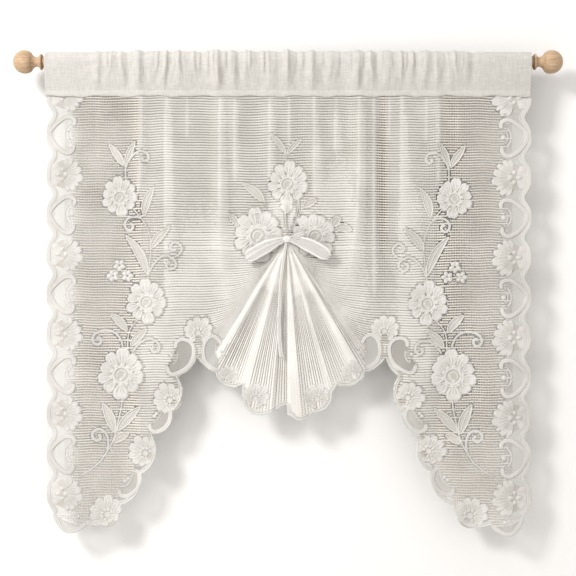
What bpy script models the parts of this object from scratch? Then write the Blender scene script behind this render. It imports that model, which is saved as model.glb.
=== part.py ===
"""A lace cafe curtain on a wooden rod.

Sizes are in metres and +Z is up. The rod lies along X, the curtain's front faces -Y,
and the origin is the middle of the rod's axis.
"""

import math
from collections import namedtuple

import bmesh
import bpy
from mathutils import Vector
from mathutils.geometry import delaunay_2d_cdt

# Gap that touching pieces keep, and the gap that a loose ribbon keeps to the cloth
FIT_GAP = 0.0003
DRAPE_GAP = 0.002

# Rod: a plain dowel that ends just inside the heading
ROD_RADIUS = 0.0175
ROD_LENGTH = 1.026
ROD_SIDES = 40

# Finials: a ball, a bead, a cove neck, a collar and a spigot that meets the rod's end
BALL_RADIUS = 0.025
BALL_REACH = 0.560
BALL_SHOULDER = 0.0100
BALL_ARC_STEPS = 10
FINIAL_SIDES = 24
SPIGOT_RADIUS = 0.0118

# How far beyond the ball's centre, toward the rod, each turn lies, and its radius
Turn = namedtuple("Turn", "beyond radius")
BEAD = (Turn(0.0108, 0.0220), Turn(0.0128, 0.0212), Turn(0.0148, 0.0188), Turn(0.0157, 0.0168))
NECK = (Turn(0.0180, 0.0140), Turn(0.0210, 0.0114), Turn(0.0250, 0.0104), Turn(0.0290, 0.0110),
        Turn(0.0318, 0.0132))
COLLAR = (Turn(0.0326, 0.0156), Turn(0.0340, 0.0170), Turn(0.0362, 0.0170),
          Turn(0.0376, 0.0152))
SPIGOT_START = 0.0380

# Cloth
LINEN_THICKNESS = 0.0012
LACE_THICKNESS = 0.0013
RIBBON_THICKNESS = 0.0011
PANEL_Y = -0.006

# Between the gathers the lace falls back below the heading, less so lower down
VALLEY_DEPTH = 0.005
VALLEY_HALF_WIDTH = 0.36
VALLEY_FADE = 0.12
VALLEY_LOW_Z = -0.667
VALLEY_LOW_LOSS = 0.6

# Heading: one linen strip over the rod, with the lace held between its lower edges
HEADING_HALF_WIDTH = 0.5155
HEADING_SEAM = -0.0605
HEADING_FOOT = -0.0745
HEADING_BACK_FOOT = -0.0732
HEADING_WRAP = 15.0
HEADING_ARC_STEPS = 7
HEADING_GATHER_WIDTH = 0.0085
HEADING_COLUMN = 0.0185
SANDWICH_GAP = 0.0004
FOOT_WAVE = 0.0015
FOOT_WAVE_LENGTH = 0.105

# Rows of the linen between rod and seam: how far down, and their share of a gather
Leg = namedtuple("Leg", "fall share")
FRONT_LEGS = (Leg(0.28, 1.00), Leg(0.64, 0.80))
BACK_LEGS = (Leg(0.50, 0.30),)
BACK_GATHER_SHARE = 0.25
FRONT_GATHER_SHARE = 0.85

# Lace panel: its top edge sits in the heading's seam
PANEL_TOP = -0.0635
PANEL_SECOND_ROW = -0.0780
PANEL_LOWEST = -1.020
SIDE_SCALLOP = 0.0140
SIDE_SCALLOP_SHARPNESS = 4
HEM_ROUNDNESS = 0.75

# How closely the lace's surface is divided: along lines, and between points
OUTLINE_STEP = 0.0110
FOLD_ROW = 0.0260
FAN_ROW = 0.0180
FILL_STEP = 0.0290
FILL_ROW_SHARE = 0.866
RIDGE_ROOM = 0.0055
FLANK_ROOM = 0.0065
FLANK_SHARES = (-0.7, 0.7, -1.6, 1.6)
PLEAT_ROOM = 0.0032
PLEAT_MIDDLE_ROOM = 0.0050
PATCH_ROOM_SHARE = 0.72
FILL_ROOM_SHARE = 0.60
Patch = namedtuple("Patch", "step reach")
KNOT_PATCHES = (Patch(0.0095, 0.048), Patch(0.0170, 0.115))

# Where the ribbon pinches the cloth, and the fan of pleats below it
KNOT_X = -0.002
KNOT_Z = -0.378
PINCH_RISE = 0.016
PINCH_WIDTH = 0.036
PINCH_HEIGHT = 0.050
FAN_OPENING = 0.115
FAN_FALL = 0.300
FAN_SPREAD = 0.22

# Long gathers die out over the last part of their length and bend late
GATHER_SEAM_SHARE = 0.40
GATHER_SETTLE = 0.055
GATHER_FADE_START = 0.50
DRIFT_POWER = 4.5

# The side tails wave a little, more so further down, and their borders turn back
TAIL_WAVE = 0.0045
TAIL_WAVE_LENGTH = 0.205
TAIL_WAVE_TOP = -0.20
TAIL_WAVE_FULL = -0.75
BORDER_START = 0.455
BORDER_WIDTH = 0.060
BORDER_TURN = 0.006
BORDER_TURN_TOP_SHARE = 0.4

# Tie: a knot, two loops and a free end that widens and comes to rest on the pleats
KNOT_SIZE = (0.017, 0.008, 0.014)
KNOT_BLUNTNESS = 0.75
LOOP_PLUMP = 0.0040
LOOP_SECTIONS = 16
LOOP_OPENING = 0.35
LOOP_LIFT_SHARE = 0.35
LOOP_NECK_SHARE = 0.34
LOOP_FULL_SHARE = 0.70
LOOP_END_LOSS = 0.22
TAIL_WIDTH = 0.0080
TAIL_NECK_SHARE = 0.75
TAIL_FOOT_SHARE = 1.10
TAIL_CREASE = 0.0016
TAIL_REST = 0.030

Gather = namedtuple("Gather", "x drift width heading_rise panel_rise reach")
GATHERS = (
    Gather(-0.4040, 0.000, 0.0140, 0.0040, 0.0030, -0.220),
    Gather(-0.3150, -0.010, 0.0100, 0.0070, 0.0120, -0.300),
    Gather(-0.2620, 0.004, 0.0280, 0.0060, 0.0120, -0.580),
    Gather(-0.2170, 0.000, 0.0100, 0.0045, 0.0030, -0.170),
    Gather(-0.1468, 0.028, 0.0120, 0.0080, 0.0210, -0.550),
    Gather(-0.1158, 0.000, 0.0100, 0.0050, 0.0040, -0.230),
    Gather(-0.0415, -0.005, 0.0150, 0.0060, 0.0090, -0.300),
    Gather(-0.0010, 0.000, 0.0100, 0.0055, 0.0040, -0.200),
    Gather(0.0523, 0.004, 0.0130, 0.0065, 0.0120, -0.320),
    Gather(0.0979, 0.000, 0.0100, 0.0050, 0.0045, -0.200),
    Gather(0.1480, -0.040, 0.0125, 0.0085, 0.0210, -0.525),
    Gather(0.1788, 0.002, 0.0150, 0.0050, 0.0100, -0.520),
    Gather(0.2120, 0.000, 0.0100, 0.0045, 0.0030, -0.180),
    Gather(0.2383, 0.003, 0.0190, 0.0060, 0.0090, -0.460),
    Gather(0.2894, 0.000, 0.0100, 0.0045, 0.0030, -0.180),
    Gather(0.3150, 0.002, 0.0105, 0.0065, 0.0100, -0.280),
    Gather(0.3575, 0.000, 0.0120, 0.0040, 0.0030, -0.200),
)

# The fan's ridges and troughs, left to right: where each runs out at the hem
Pleat = namedtuple("Pleat", "foot_x foot_z rise")
PLEATS = (
    Pleat(-0.2300, -0.640, 0.0000),
    Pleat(-0.1778, -0.646, -0.0090),
    Pleat(-0.1628, -0.656, 0.0120),
    Pleat(-0.1356, -0.687, -0.0080),
    Pleat(-0.0964, -0.693, 0.0120),
    Pleat(-0.0611, -0.750, 0.0010),
    Pleat(-0.0355, -0.745, 0.0110),
    Pleat(-0.0253, -0.740, -0.0090),
    Pleat(-0.0040, -0.729, -0.0090),
    Pleat(0.0050, -0.748, 0.0140),
    Pleat(0.0254, -0.762, 0.0110),
    Pleat(0.0491, -0.751, -0.0060),
    Pleat(0.0919, -0.720, 0.0090),
    Pleat(0.1283, -0.690, -0.0080),
    Pleat(0.1590, -0.670, 0.0130),
    Pleat(0.1767, -0.656, -0.0080),
    Pleat(0.2250, -0.640, 0.0000),
)

# Soft hollows and swells of the swag round the knot
Swell = namedtuple("Swell", "x z half_width half_height rise")
SWELLS = (
    Swell(-0.0936, -0.466, 0.034, 0.040, -0.0100),
    Swell(0.0840, -0.447, 0.032, 0.036, -0.0100),
    Swell(-0.0277, -0.343, 0.016, 0.026, 0.0060),
    Swell(-0.0600, -0.372, 0.045, 0.045, 0.0040),
    Swell(0.0560, -0.370, 0.045, 0.045, 0.0040),
    Swell(-0.1250, -0.560, 0.045, 0.060, 0.0050),
    Swell(0.1250, -0.560, 0.045, 0.060, 0.0050),
)

# Two short creases that run up from the knot in a V
Crease = namedtuple("Crease", "top_x top_z width rise")
CREASES = (
    Crease(-0.0080, -0.285, 0.0050, 0.0050),
    Crease(0.0226, -0.291, 0.0050, 0.0050),
)

# The side borders: where each edge bulges furthest, its first flower and its repeat
Border = namedtuple("Border", "side edge_x first_z repeat lobes")
BORDER_LEFT = Border(-1, -0.5135, -0.0702, 0.1694, 10.5)
BORDER_RIGHT = Border(1, 0.5175, -0.0765, 0.1700, 10.5)

# The hem from the left tail to the right tail: each scallop's far end and its bulge
Scallop = namedtuple("Scallop", "end_x end_z bulge")
HEM = (
    Scallop(-0.4256, -0.9827, 0.0300),
    Scallop(-0.3543, -0.9416, 0.0210),
    Scallop(-0.3128, -0.8767, 0.0160),
    Scallop(-0.2898, -0.7916, 0.0210),
    Scallop(-0.2456, -0.7427, 0.0160),
    Scallop(-0.2351, -0.6682, 0.0160),
    Scallop(-0.1936, -0.6288, 0.0075),
    Scallop(-0.1543, -0.6597, 0.0040),
    Scallop(-0.0958, -0.6852, 0.0180),
    Scallop(-0.0149, -0.7331, 0.0430),
    Scallop(-0.0026, -0.7288, 0.0000),
    Scallop(-0.0013, -0.7491, 0.0000),
    Scallop(0.0053, -0.7491, 0.0020),
    Scallop(0.0532, -0.7459, 0.0150),
    Scallop(0.0936, -0.7001, 0.0150),
    Scallop(0.1032, -0.6852, 0.0020),
    Scallop(0.1639, -0.6597, 0.0160),
    Scallop(0.2077, -0.6288, 0.0060),
    Scallop(0.2345, -0.6682, 0.0050),
    Scallop(0.2422, -0.7437, 0.0155),
    Scallop(0.2798, -0.8012, 0.0100),
    Scallop(0.3028, -0.8693, 0.0180),
    Scallop(0.3522, -0.9427, 0.0170),
    Scallop(0.4284, -0.9849, 0.0255),
)
HEM_LAST_BULGE = 0.0330

# The bow's loops: how far each reaches and falls, how late it bends, the ribbon's width
Loop = namedtuple("Loop", "side reach fall bend width")
LOOPS = (
    Loop(-1, 0.090, 0.040, 1.35, 0.025),
    Loop(1, 0.092, 0.038, 1.60, 0.027),
)

# The ribbon's free end, from the knot down
TAIL_ROUTE = (
    (-0.0030, -0.381),
    (-0.0095, -0.420),
    (-0.0150, -0.465),
    (-0.0180, -0.510),
    (-0.0188, -0.555),
    (-0.0175, -0.595),
    (-0.0140, -0.628),
)


def clamp(value):
    """The value, held between 0 and 1."""
    return min(1.0, max(0.0, value))


def smooth(value):
    """0 to 1 with a soft start and a soft end."""
    value = clamp(value)
    return value * value * (3.0 - 2.0 * value)


def bump(distance, width):
    """A soft ridge's share of its height at a distance from its line."""
    return math.exp(-(distance / width) ** 2)


def gather_x(gather, z):
    """Where a gather's ridge runs at height z."""
    fall = clamp((HEADING_FOOT - z) / (HEADING_FOOT - gather.reach))
    return gather.x + gather.drift * fall ** DRIFT_POWER


def gather_rise(x, z):
    """How far the long gathers stand forward at a point."""
    settled = smooth((HEADING_FOOT - z) / GATHER_SETTLE)
    share = GATHER_SEAM_SHARE + (1.0 - GATHER_SEAM_SHARE) * settled
    total = 0.0
    for gather in GATHERS:
        fall = clamp((HEADING_FOOT - z) / (HEADING_FOOT - gather.reach))
        left = 1.0 - smooth((fall - GATHER_FADE_START) / (1.0 - GATHER_FADE_START))
        total += gather.panel_rise * left * bump(x - gather_x(gather, z), gather.width)
    return total * share


def pleat_x(pleat, z):
    """Where a pleat's line runs at height z: straight from the knot to its foot."""
    return KNOT_X + (pleat.foot_x - KNOT_X) * (KNOT_Z - z) / (KNOT_Z - pleat.foot_z)


def fan_rise(x, z):
    """How far the fan's pleats stand forward at a point below the knot."""
    drop = KNOT_Z - z
    if drop <= 0.0:
        return 0.0
    lines = [pleat_x(pleat, z) for pleat in PLEATS]
    if not lines[0] < x < lines[-1]:
        return 0.0
    right = next(i for i, line in enumerate(lines) if line >= x)
    share = smooth((x - lines[right - 1]) / (lines[right] - lines[right - 1]))
    near, far = PLEATS[right - 1].rise, PLEATS[right].rise
    return smooth(drop / FAN_OPENING) * (near + (far - near) * share)


def pinch_rise(x, z):
    """The cloth drawn forward at the knot, and the bundle that falls from it."""
    drop = KNOT_Z - z
    if drop > 0.0:
        width = PINCH_WIDTH + FAN_SPREAD * drop
        return PINCH_RISE * bump(x - KNOT_X, width) * bump(drop, FAN_FALL)
    rise = PINCH_RISE * bump(x - KNOT_X, PINCH_WIDTH) * bump(drop, PINCH_HEIGHT)
    for crease in CREASES:
        share = clamp((z - KNOT_Z) / (crease.top_z - KNOT_Z))
        line = KNOT_X + (crease.top_x - KNOT_X) * share
        rise += crease.rise * math.sin(math.pi * share) * bump(x - line, crease.width)
    return rise


def swell_rise(x, z):
    """The swag's hollows and swells."""
    return sum(swell.rise * bump(x - swell.x, swell.half_width)
               * bump(z - swell.z, swell.half_height) for swell in SWELLS)


def tail_rise(x, z):
    """The slow wave of the side tails and the turn of the borders."""
    lowered = smooth((TAIL_WAVE_TOP - z) / (TAIL_WAVE_TOP - TAIL_WAVE_FULL))
    wave = TAIL_WAVE * lowered * math.sin(math.tau * abs(x) / TAIL_WAVE_LENGTH)
    turn = BORDER_TURN * smooth((abs(x) - BORDER_START) / BORDER_WIDTH)
    return wave - turn * (BORDER_TURN_TOP_SHARE + (1.0 - BORDER_TURN_TOP_SHARE) * lowered)


def valley_depth(x, z):
    """How far the cloth between the gathers falls back below the heading."""
    across = 1.0 - smooth((abs(x) - VALLEY_HALF_WIDTH) / VALLEY_FADE + 0.5)
    down = smooth((HEADING_FOOT - z) / GATHER_SETTLE)
    return VALLEY_DEPTH * across * down * (1.0 - VALLEY_LOW_LOSS * smooth(z / VALLEY_LOW_Z))


def cloth_y(x, z):
    """The middle of the lace's thickness at a point of its front view."""
    rise = gather_rise(x, z) + fan_rise(x, z) + pinch_rise(x, z)
    rise += swell_rise(x, z) + tail_rise(x, z)
    return PANEL_Y + valley_depth(x, z) - rise


def cloth_front(x, z, half_width, half_height):
    """The furthest forward that the lace comes inside a small window."""
    steps = (-1.0, -0.5, 0.0, 0.5, 1.0)
    nearest = min(cloth_y(x + a * half_width, z + b * half_height)
                  for a in steps for b in steps)
    return nearest - LACE_THICKNESS / 2.0


def border_x(border, z):
    """A side edge with a bulge at each flower and each heart."""
    turn = math.pi * (border.first_z - z) / (border.repeat / 2.0)
    bite = SIDE_SCALLOP * math.sin(turn) ** SIDE_SCALLOP_SHARPNESS
    return border.edge_x - border.side * bite


def border_foot(border):
    """The valley in which a side edge ends."""
    z = border.first_z - border.lobes * border.repeat / 2.0
    return (border_x(border, z), z)


def border_points(border):
    """A side edge from the heading down to its last valley."""
    foot_z = border_foot(border)[1]
    heights = [PANEL_TOP] + levels(PANEL_TOP, foot_z, OUTLINE_STEP)
    return [(border_x(border, z), z) for z in heights]


def arc_points(start, end, bulge):
    """Points after start, up to end, on an arc that bulges to the right of the way."""
    chord = Vector(end) - Vector(start)
    middle = (Vector(start) + Vector(end)) / 2.0
    outward = Vector((chord.y, -chord.x)).normalized()
    half = chord.length / 2.0
    count = max(1, round((2.0 * half + bulge) / OUTLINE_STEP))
    points = []
    for i in range(1, count + 1):
        along = 2.0 * i / count - 1.0
        rise = 0.0
        if i < count:
            rise = bulge * math.cos(along * math.pi / 2.0) ** HEM_ROUNDNESS
        points.append(tuple(middle + chord * (along / 2.0) + outward * rise))
    return points


def spaced(values, least):
    """Sorted values, without any that follow the one before too closely."""
    kept = []
    for value in sorted(values):
        if not kept or value - kept[-1] >= least:
            kept.append(value)
    return kept


def heading_columns():
    """Places along the rod at which the heading and the lace share their folds."""
    wanted = [-HEADING_HALF_WIDTH, HEADING_HALF_WIDTH]
    for gather in GATHERS:
        wanted += [gather.x, gather.x - HEADING_GATHER_WIDTH, gather.x + HEADING_GATHER_WIDTH]
    columns = spaced(wanted, HEADING_GATHER_WIDTH * 0.8)
    filled = [columns[0]]
    for column in columns[1:]:
        gap = column - filled[-1]
        extra = math.ceil(gap / HEADING_COLUMN)
        start = filled[-1]
        filled += [start + gap * (i + 1) / extra for i in range(extra)]
    return filled


def panel_outline():
    """The lace's edge in front view: down the left, along the hem, up the right."""
    outline = border_points(BORDER_LEFT)
    for scallop in HEM:
        outline += arc_points(outline[-1], (scallop.end_x, scallop.end_z), scallop.bulge)
    outline += arc_points(outline[-1], border_foot(BORDER_RIGHT), HEM_LAST_BULGE)
    outline += border_points(BORDER_RIGHT)[-2::-1]
    inner = OUTLINE_STEP / 2.0
    left, right = outline[0][0] + inner, outline[-1][0] - inner
    top = [(x, PANEL_TOP) for x in heading_columns() if left < x < right]
    return outline + top[::-1]


class Points:
    """Points of the front view that keep a least distance from each other."""

    def __init__(self, first):
        self.items = []
        self.cells = {}
        for point in first:
            self.keep(point)

    def cell(self, point):
        return (math.floor(point[0] / FILL_STEP), math.floor(point[1] / FILL_STEP))

    def keep(self, point):
        self.cells.setdefault(self.cell(point), []).append(len(self.items))
        self.items.append(Vector(point))
        return len(self.items) - 1

    def add(self, point, least):
        """Keep the point if it has room, and return its number or None."""
        column, row = self.cell(point)
        near = [i for a in (-1, 0, 1) for b in (-1, 0, 1)
                for i in self.cells.get((column + a, row + b), ())]
        if any((self.items[i] - Vector(point)).length < least for i in near):
            return None
        return self.keep(point)


def levels(top, foot, step):
    """Even heights from just below the top down to the foot."""
    count = max(1, round((top - foot) / step))
    return [top + (foot - top) * i / count for i in range(1, count + 1)]


def rows_down(top, foot, step):
    """Heights at whole steps below the top, as far as the foot."""
    return [top - i * step for i in range(1, int((top - foot) / step) + 1)]


def add_gather_points(points):
    """Rows of points on the gathers' ridges and down both their sides."""
    lines = []
    for gather in GATHERS:
        heights = rows_down(PANEL_SECOND_ROW, gather.reach, FOLD_ROW)
        ridge = [points.add((gather_x(gather, z), z), RIDGE_ROOM) for z in heights]
        lines += joined(ridge)
    for gather in GATHERS:
        for z in rows_down(PANEL_SECOND_ROW, gather.reach, FOLD_ROW):
            for share in FLANK_SHARES:
                points.add((gather_x(gather, z) + share * gather.width, z), FLANK_ROOM)
    return lines


def joined(run):
    """The edges between the points of a line that were kept."""
    return [pair for pair in zip(run, run[1:]) if None not in pair]


def add_fan_points(points):
    """Lines of points down the fan's ridges and troughs, and halfway between them."""
    lines = []
    for pleat in sorted(PLEATS, key=lambda pleat: -abs(pleat.rise)):
        heights = rows_down(KNOT_Z, pleat.foot_z + OUTLINE_STEP / 2.0, FAN_ROW)
        lines += joined([points.add((pleat_x(pleat, z), z), PLEAT_ROOM) for z in heights])
    for left, right in zip(PLEATS, PLEATS[1:]):
        foot = max(left.foot_z, right.foot_z) + OUTLINE_STEP
        middle = [((pleat_x(left, z) + pleat_x(right, z)) / 2.0, z)
                  for z in rows_down(KNOT_Z, foot, FAN_ROW)]
        lines += joined([points.add(point, PLEAT_MIDDLE_ROOM) for point in middle])
    return lines


def in_fan(x, z):
    """Whether a point lies between the fan's outermost lines."""
    return z < KNOT_Z and pleat_x(PLEATS[0], z) < x < pleat_x(PLEATS[-1], z)


def add_fill_points(points):
    """A close patch round the knot, then a wide even net over the rest."""
    points.add((KNOT_X, KNOT_Z), 0.0)
    for patch in KNOT_PATCHES:
        count = round(patch.reach / patch.step)
        for a in range(-count, count + 1):
            for b in range(-count, count + 1):
                x, z = KNOT_X + a * patch.step, KNOT_Z + b * patch.step
                if not in_fan(x, z):
                    points.add((x, z), patch.step * PATCH_ROOM_SHARE)
    height = FILL_STEP * FILL_ROW_SHARE
    columns = round(HEADING_HALF_WIDTH / FILL_STEP)
    for row in range(round((PANEL_TOP - PANEL_LOWEST) / height) + 1):
        z = PANEL_TOP - (row + 0.5) * height
        for column in range(-columns, columns + 1):
            x = (column + 0.5 * (row % 2)) * FILL_STEP
            if not in_fan(x, z):
                points.add((x, z), FILL_STEP * FILL_ROOM_SHARE)


def panel_mesh():
    """The lace as one open surface: its outline filled, then bent into its folds."""
    outline = panel_outline()
    points = Points(outline)
    edges = [(i, (i + 1) % len(outline)) for i in range(len(outline))]
    for x in heading_columns()[1:-1]:
        points.add((x, PANEL_SECOND_ROW), RIDGE_ROOM)
    edges += add_fan_points(points)
    edges += add_gather_points(points)
    add_fill_points(points)
    result = delaunay_2d_cdt(points.items, edges, [], 1, 1e-7)
    corners, faces = result[0], result[2]
    mesh = bpy.data.meshes.new("lace_panel")
    places = [(point.x, cloth_y(point.x, point.y), point.y) for point in corners]
    mesh.from_pydata(places, [], faces)
    shell = bmesh.new()
    shell.from_mesh(mesh)
    loose = [vertex for vertex in shell.verts if not vertex.link_faces]
    bmesh.ops.delete(shell, geom=loose, context="VERTS")
    bmesh.ops.recalc_face_normals(shell, faces=shell.faces)
    shell.to_mesh(mesh)
    shell.free()
    return mesh


def heading_rise(x):
    """How far the linen's gathers stand off the rod."""
    return sum(gather.heading_rise * bump(x - gather.x, HEADING_GATHER_WIDTH)
               for gather in GATHERS)


def heading_turns():
    """Angles round the rod at which the linen has a row: from the back to the front."""
    step = (180.0 + 2.0 * HEADING_WRAP) / HEADING_ARC_STEPS
    return [math.radians(180.0 + HEADING_WRAP - i * step)
            for i in range(HEADING_ARC_STEPS + 1)]


def heading_radius():
    """The linen's middle over the rod, so that its flats clear the rod's round."""
    turns = heading_turns()
    inner = (ROD_RADIUS + FIT_GAP) / math.cos((turns[0] - turns[1]) / 2.0)
    return inner + LINEN_THICKNESS / 2.0


def seam_point(x, z, face):
    """A point of the linen beside the lace: face is -1 in front and 1 behind."""
    step = 0.001
    slope = (cloth_y(x + step, z) - cloth_y(x - step, z)) / (2.0 * step)
    length = math.hypot(1.0, slope)
    off = (LINEN_THICKNESS + LACE_THICKNESS) / 2.0 + SANDWICH_GAP
    return (x - face * off * slope / length, cloth_y(x, z) + face * off / length, z)


def leg_point(x, fall, face, share):
    """A point of the linen on its way from the rod down to the seam."""
    wrap = math.radians(HEADING_WRAP)
    start = Vector((x, face * heading_radius() * math.cos(wrap),
                    -heading_radius() * math.sin(wrap)))
    point = start.lerp(Vector(seam_point(x, HEADING_SEAM, face)), fall)
    point.y += face * share * heading_rise(x)
    return tuple(point)


def heading_section(x):
    """The linen's section at one place: up the back, over the rod, down the front."""
    wave = FOOT_WAVE * math.sin(math.tau * x / FOOT_WAVE_LENGTH)
    section = [
        seam_point(x, HEADING_BACK_FOOT + wave, 1),
        seam_point(x, HEADING_SEAM, 1),
    ]
    section += [leg_point(x, leg.fall, 1, leg.share) for leg in BACK_LEGS]
    for turn in heading_turns():
        forward = (1.0 + math.cos(turn)) / 2.0
        share = BACK_GATHER_SHARE + (FRONT_GATHER_SHARE - BACK_GATHER_SHARE) * forward
        radius = heading_radius() + share * heading_rise(x)
        section.append((x, -radius * math.cos(turn), radius * math.sin(turn)))
    section += [leg_point(x, leg.fall, -1, leg.share) for leg in FRONT_LEGS]
    section += [
        seam_point(x, HEADING_SEAM, -1),
        seam_point(x, HEADING_FOOT + wave, -1),
    ]
    return section


def strip_mesh(name, rows):
    """One open sheet through rows that all have the same number of points."""
    width = len(rows[0])
    places = [point for row in rows for point in row]
    faces = []
    for a in range(len(rows) - 1):
        for b in range(width - 1):
            corner = a * width + b
            faces.append((corner, corner + 1, corner + width + 1, corner + width))
    mesh = bpy.data.meshes.new(name)
    mesh.from_pydata(places, [], faces)
    return mesh


def loop_width_share(share):
    """How much of its width the ribbon shows between the knot and the loop's end."""
    opened = LOOP_NECK_SHARE + (1.0 - LOOP_NECK_SHARE) * smooth(share / LOOP_FULL_SHARE)
    ended = smooth((share - LOOP_FULL_SHARE) / (1.0 - LOOP_FULL_SHARE))
    return opened * (1.0 - LOOP_END_LOSS * ended)


def loop_rows(loop, knot_y):
    """A bow loop's ribbon: out in front, round its end and back behind."""
    rows = []
    for i in range(LOOP_SECTIONS + 1):
        turn = math.tau * (i + LOOP_OPENING) / (LOOP_SECTIONS + 2.0 * LOOP_OPENING)
        share = (1.0 - math.cos(turn)) / 2.0
        fall = loop.fall * share ** loop.bend
        slope = loop.fall * loop.bend * share ** (loop.bend - 1.0)
        across = Vector((loop.side * slope, 0.0, loop.reach)).normalized()
        width = loop.width * loop_width_share(share)
        centre = Vector((KNOT_X + loop.side * loop.reach * share, 0.0, KNOT_Z - fall))
        clear = cloth_front(centre.x, centre.z, width / 2.0, width / 2.0)
        middle = min(knot_y, clear - DRAPE_GAP - LOOP_PLUMP - RIBBON_THICKNESS)
        plump = LOOP_PLUMP * math.sin(turn) * math.sqrt(share)
        off = RIBBON_THICKNESS * math.cos(turn / 2.0)
        lifted = smooth(share / LOOP_LIFT_SHARE)
        centre.y = knot_y + (middle - knot_y) * lifted - plump - off
        crease = Vector((0.0, -RIBBON_THICKNESS * (1.0 - share), 0.0))
        rows.append([centre - across * width / 2.0, centre + crease,
                     centre + across * width / 2.0])
    return rows


def tail_rows(knot_y):
    """The ribbon's free end, creased along its middle, in front of the pleats."""
    rows = []
    for i, (x, z) in enumerate(TAIL_ROUTE):
        fall = i / (len(TAIL_ROUTE) - 1)
        clear = cloth_front(x, z, TAIL_WIDTH, 2.0 * TAIL_WIDTH)
        y = min(clear - DRAPE_GAP, knot_y + TAIL_REST * fall)
        widening = (TAIL_FOOT_SHARE - TAIL_NECK_SHARE) * fall
        half = TAIL_WIDTH / 2.0 * (TAIL_NECK_SHARE + widening)
        if i == 0:
            y = knot_y
        rows.append([(x - half, y, z), (x, y - TAIL_CREASE, z), (x + half, y, z)])
    return rows


def principled(name, colour, roughness):
    """A plain material: every piece of this object is a dielectric."""
    material = bpy.data.materials.new(name)
    material.use_nodes = True
    shader = material.node_tree.nodes["Principled BSDF"]
    shader.inputs["Base Color"].default_value = (*colour, 1.0)
    shader.inputs["Roughness"].default_value = roughness
    shader.inputs["Metallic"].default_value = 0.0
    material.diffuse_color = (*colour, 1.0)
    return material


def add_object(name, mesh, material, collection):
    """A smooth-shaded object at the origin, in its collection."""
    mesh.shade_smooth()
    mesh.materials.append(material)
    piece = bpy.data.objects.new(name, mesh)
    collection.objects.link(piece)
    return piece


def add_solidify(piece, thickness):
    """Give an open sheet its thickness, half on each side."""
    shell = piece.modifiers.new("thickness", "SOLIDIFY")
    shell.thickness = thickness
    shell.offset = 0.0
    shell.use_even_offset = True
    shell.use_quality_normals = True


def make_rod(material, collection):
    """The dowel along X."""
    form = bmesh.new()
    bmesh.ops.create_cone(form, cap_ends=True, segments=ROD_SIDES, radius1=ROD_RADIUS,
                          radius2=ROD_RADIUS, depth=ROD_LENGTH)
    mesh = bpy.data.meshes.new("rod")
    form.to_mesh(mesh)
    form.free()
    rod = add_object("rod", mesh, material, collection)
    mesh.set_sharp_from_angle(angle=math.radians(40.0))
    rod.rotation_euler = (0.0, math.radians(90.0), 0.0)
    return rod


def finial_profile():
    """Half a finial's section: distance beyond the ball's centre, and radius."""
    shoulder = math.acos(-BALL_SHOULDER / BALL_RADIUS)
    turns = [shoulder * i / BALL_ARC_STEPS for i in range(BALL_ARC_STEPS + 1)]
    ball = [(BALL_RADIUS * math.cos(turn), BALL_RADIUS * math.sin(turn)) for turn in turns]
    spigot_end = BALL_REACH - ROD_LENGTH / 2.0 - FIT_GAP
    turned = [(-turn.beyond, turn.radius) for turn in BEAD + NECK + COLLAR]
    spigot = [(-SPIGOT_START, SPIGOT_RADIUS), (-spigot_end, SPIGOT_RADIUS)]
    return ball + turned + spigot + [(-spigot_end, 0.0)]


def make_finial(name, side, material, collection):
    """A turned knob: its profile, screwed round the rod's axis."""
    profile = finial_profile()
    mesh = bpy.data.meshes.new(name)
    places = [(radius, 0.0, along) for along, radius in profile]
    places[0] = (0.0, 0.0, BALL_RADIUS)
    mesh.from_pydata(places, [(i, i + 1) for i in range(len(places) - 1)], [])
    finial = add_object(name, mesh, material, collection)
    turning = finial.modifiers.new("turning", "SCREW")
    turning.steps = FINIAL_SIDES
    turning.render_steps = FINIAL_SIDES
    turning.use_merge_vertices = True
    turning.merge_threshold = 0.00001
    turning.use_smooth_shade = True
    finial.location = (side * BALL_REACH, 0.0, 0.0)
    finial.rotation_euler = (0.0, side * math.radians(90.0), 0.0)
    return finial


def make_heading(material, collection):
    """The gathered linen sleeve."""
    rows = [heading_section(x) for x in heading_columns()]
    heading = add_object("heading", strip_mesh("heading", rows), material, collection)
    add_solidify(heading, LINEN_THICKNESS)
    return heading


def make_panel(material, collection):
    """The lace."""
    panel = add_object("lace_panel", panel_mesh(), material, collection)
    add_solidify(panel, LACE_THICKNESS)
    return panel


def make_tie(material, collection, cutters):
    """The knot, with the two loops and the free end joined into it."""
    width, depth, height = KNOT_SIZE
    seat = cloth_front(KNOT_X, KNOT_Z, width / 2.0, height / 2.0) - 2.0 * FIT_GAP
    knot_y = seat - depth / 2.0
    form = bmesh.new()
    bmesh.ops.create_uvsphere(form, u_segments=14, v_segments=8, radius=0.5)
    mesh = bpy.data.meshes.new("tie")
    form.to_mesh(mesh)
    form.free()
    for vertex in mesh.vertices:
        for axis, size in enumerate(KNOT_SIZE):
            reach = abs(2.0 * vertex.co[axis]) ** KNOT_BLUNTNESS
            blunt = math.copysign(reach, vertex.co[axis])
            vertex.co[axis] = blunt * size / 2.0
    tie = add_object("tie", mesh, material, collection)
    tie.location = (KNOT_X, knot_y, KNOT_Z)
    strips = [(f"loop_{loop.side}", loop_rows(loop, knot_y)) for loop in LOOPS]
    strips.append(("free_end", tail_rows(knot_y)))
    for name, rows in strips:
        strip = add_object(name, strip_mesh(name, rows), material, cutters)
        add_solidify(strip, RIBBON_THICKNESS)
        strip.hide_render = True
        strip.display_type = "WIRE"
        union = tie.modifiers.new(name, "BOOLEAN")
        union.operation = "UNION"
        union.solver = "EXACT"
        union.object = strip
    return tie


def new_collection(name):
    """A collection in the scene."""
    collection = bpy.data.collections.new(name)
    bpy.context.scene.collection.children.link(collection)
    return collection


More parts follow.
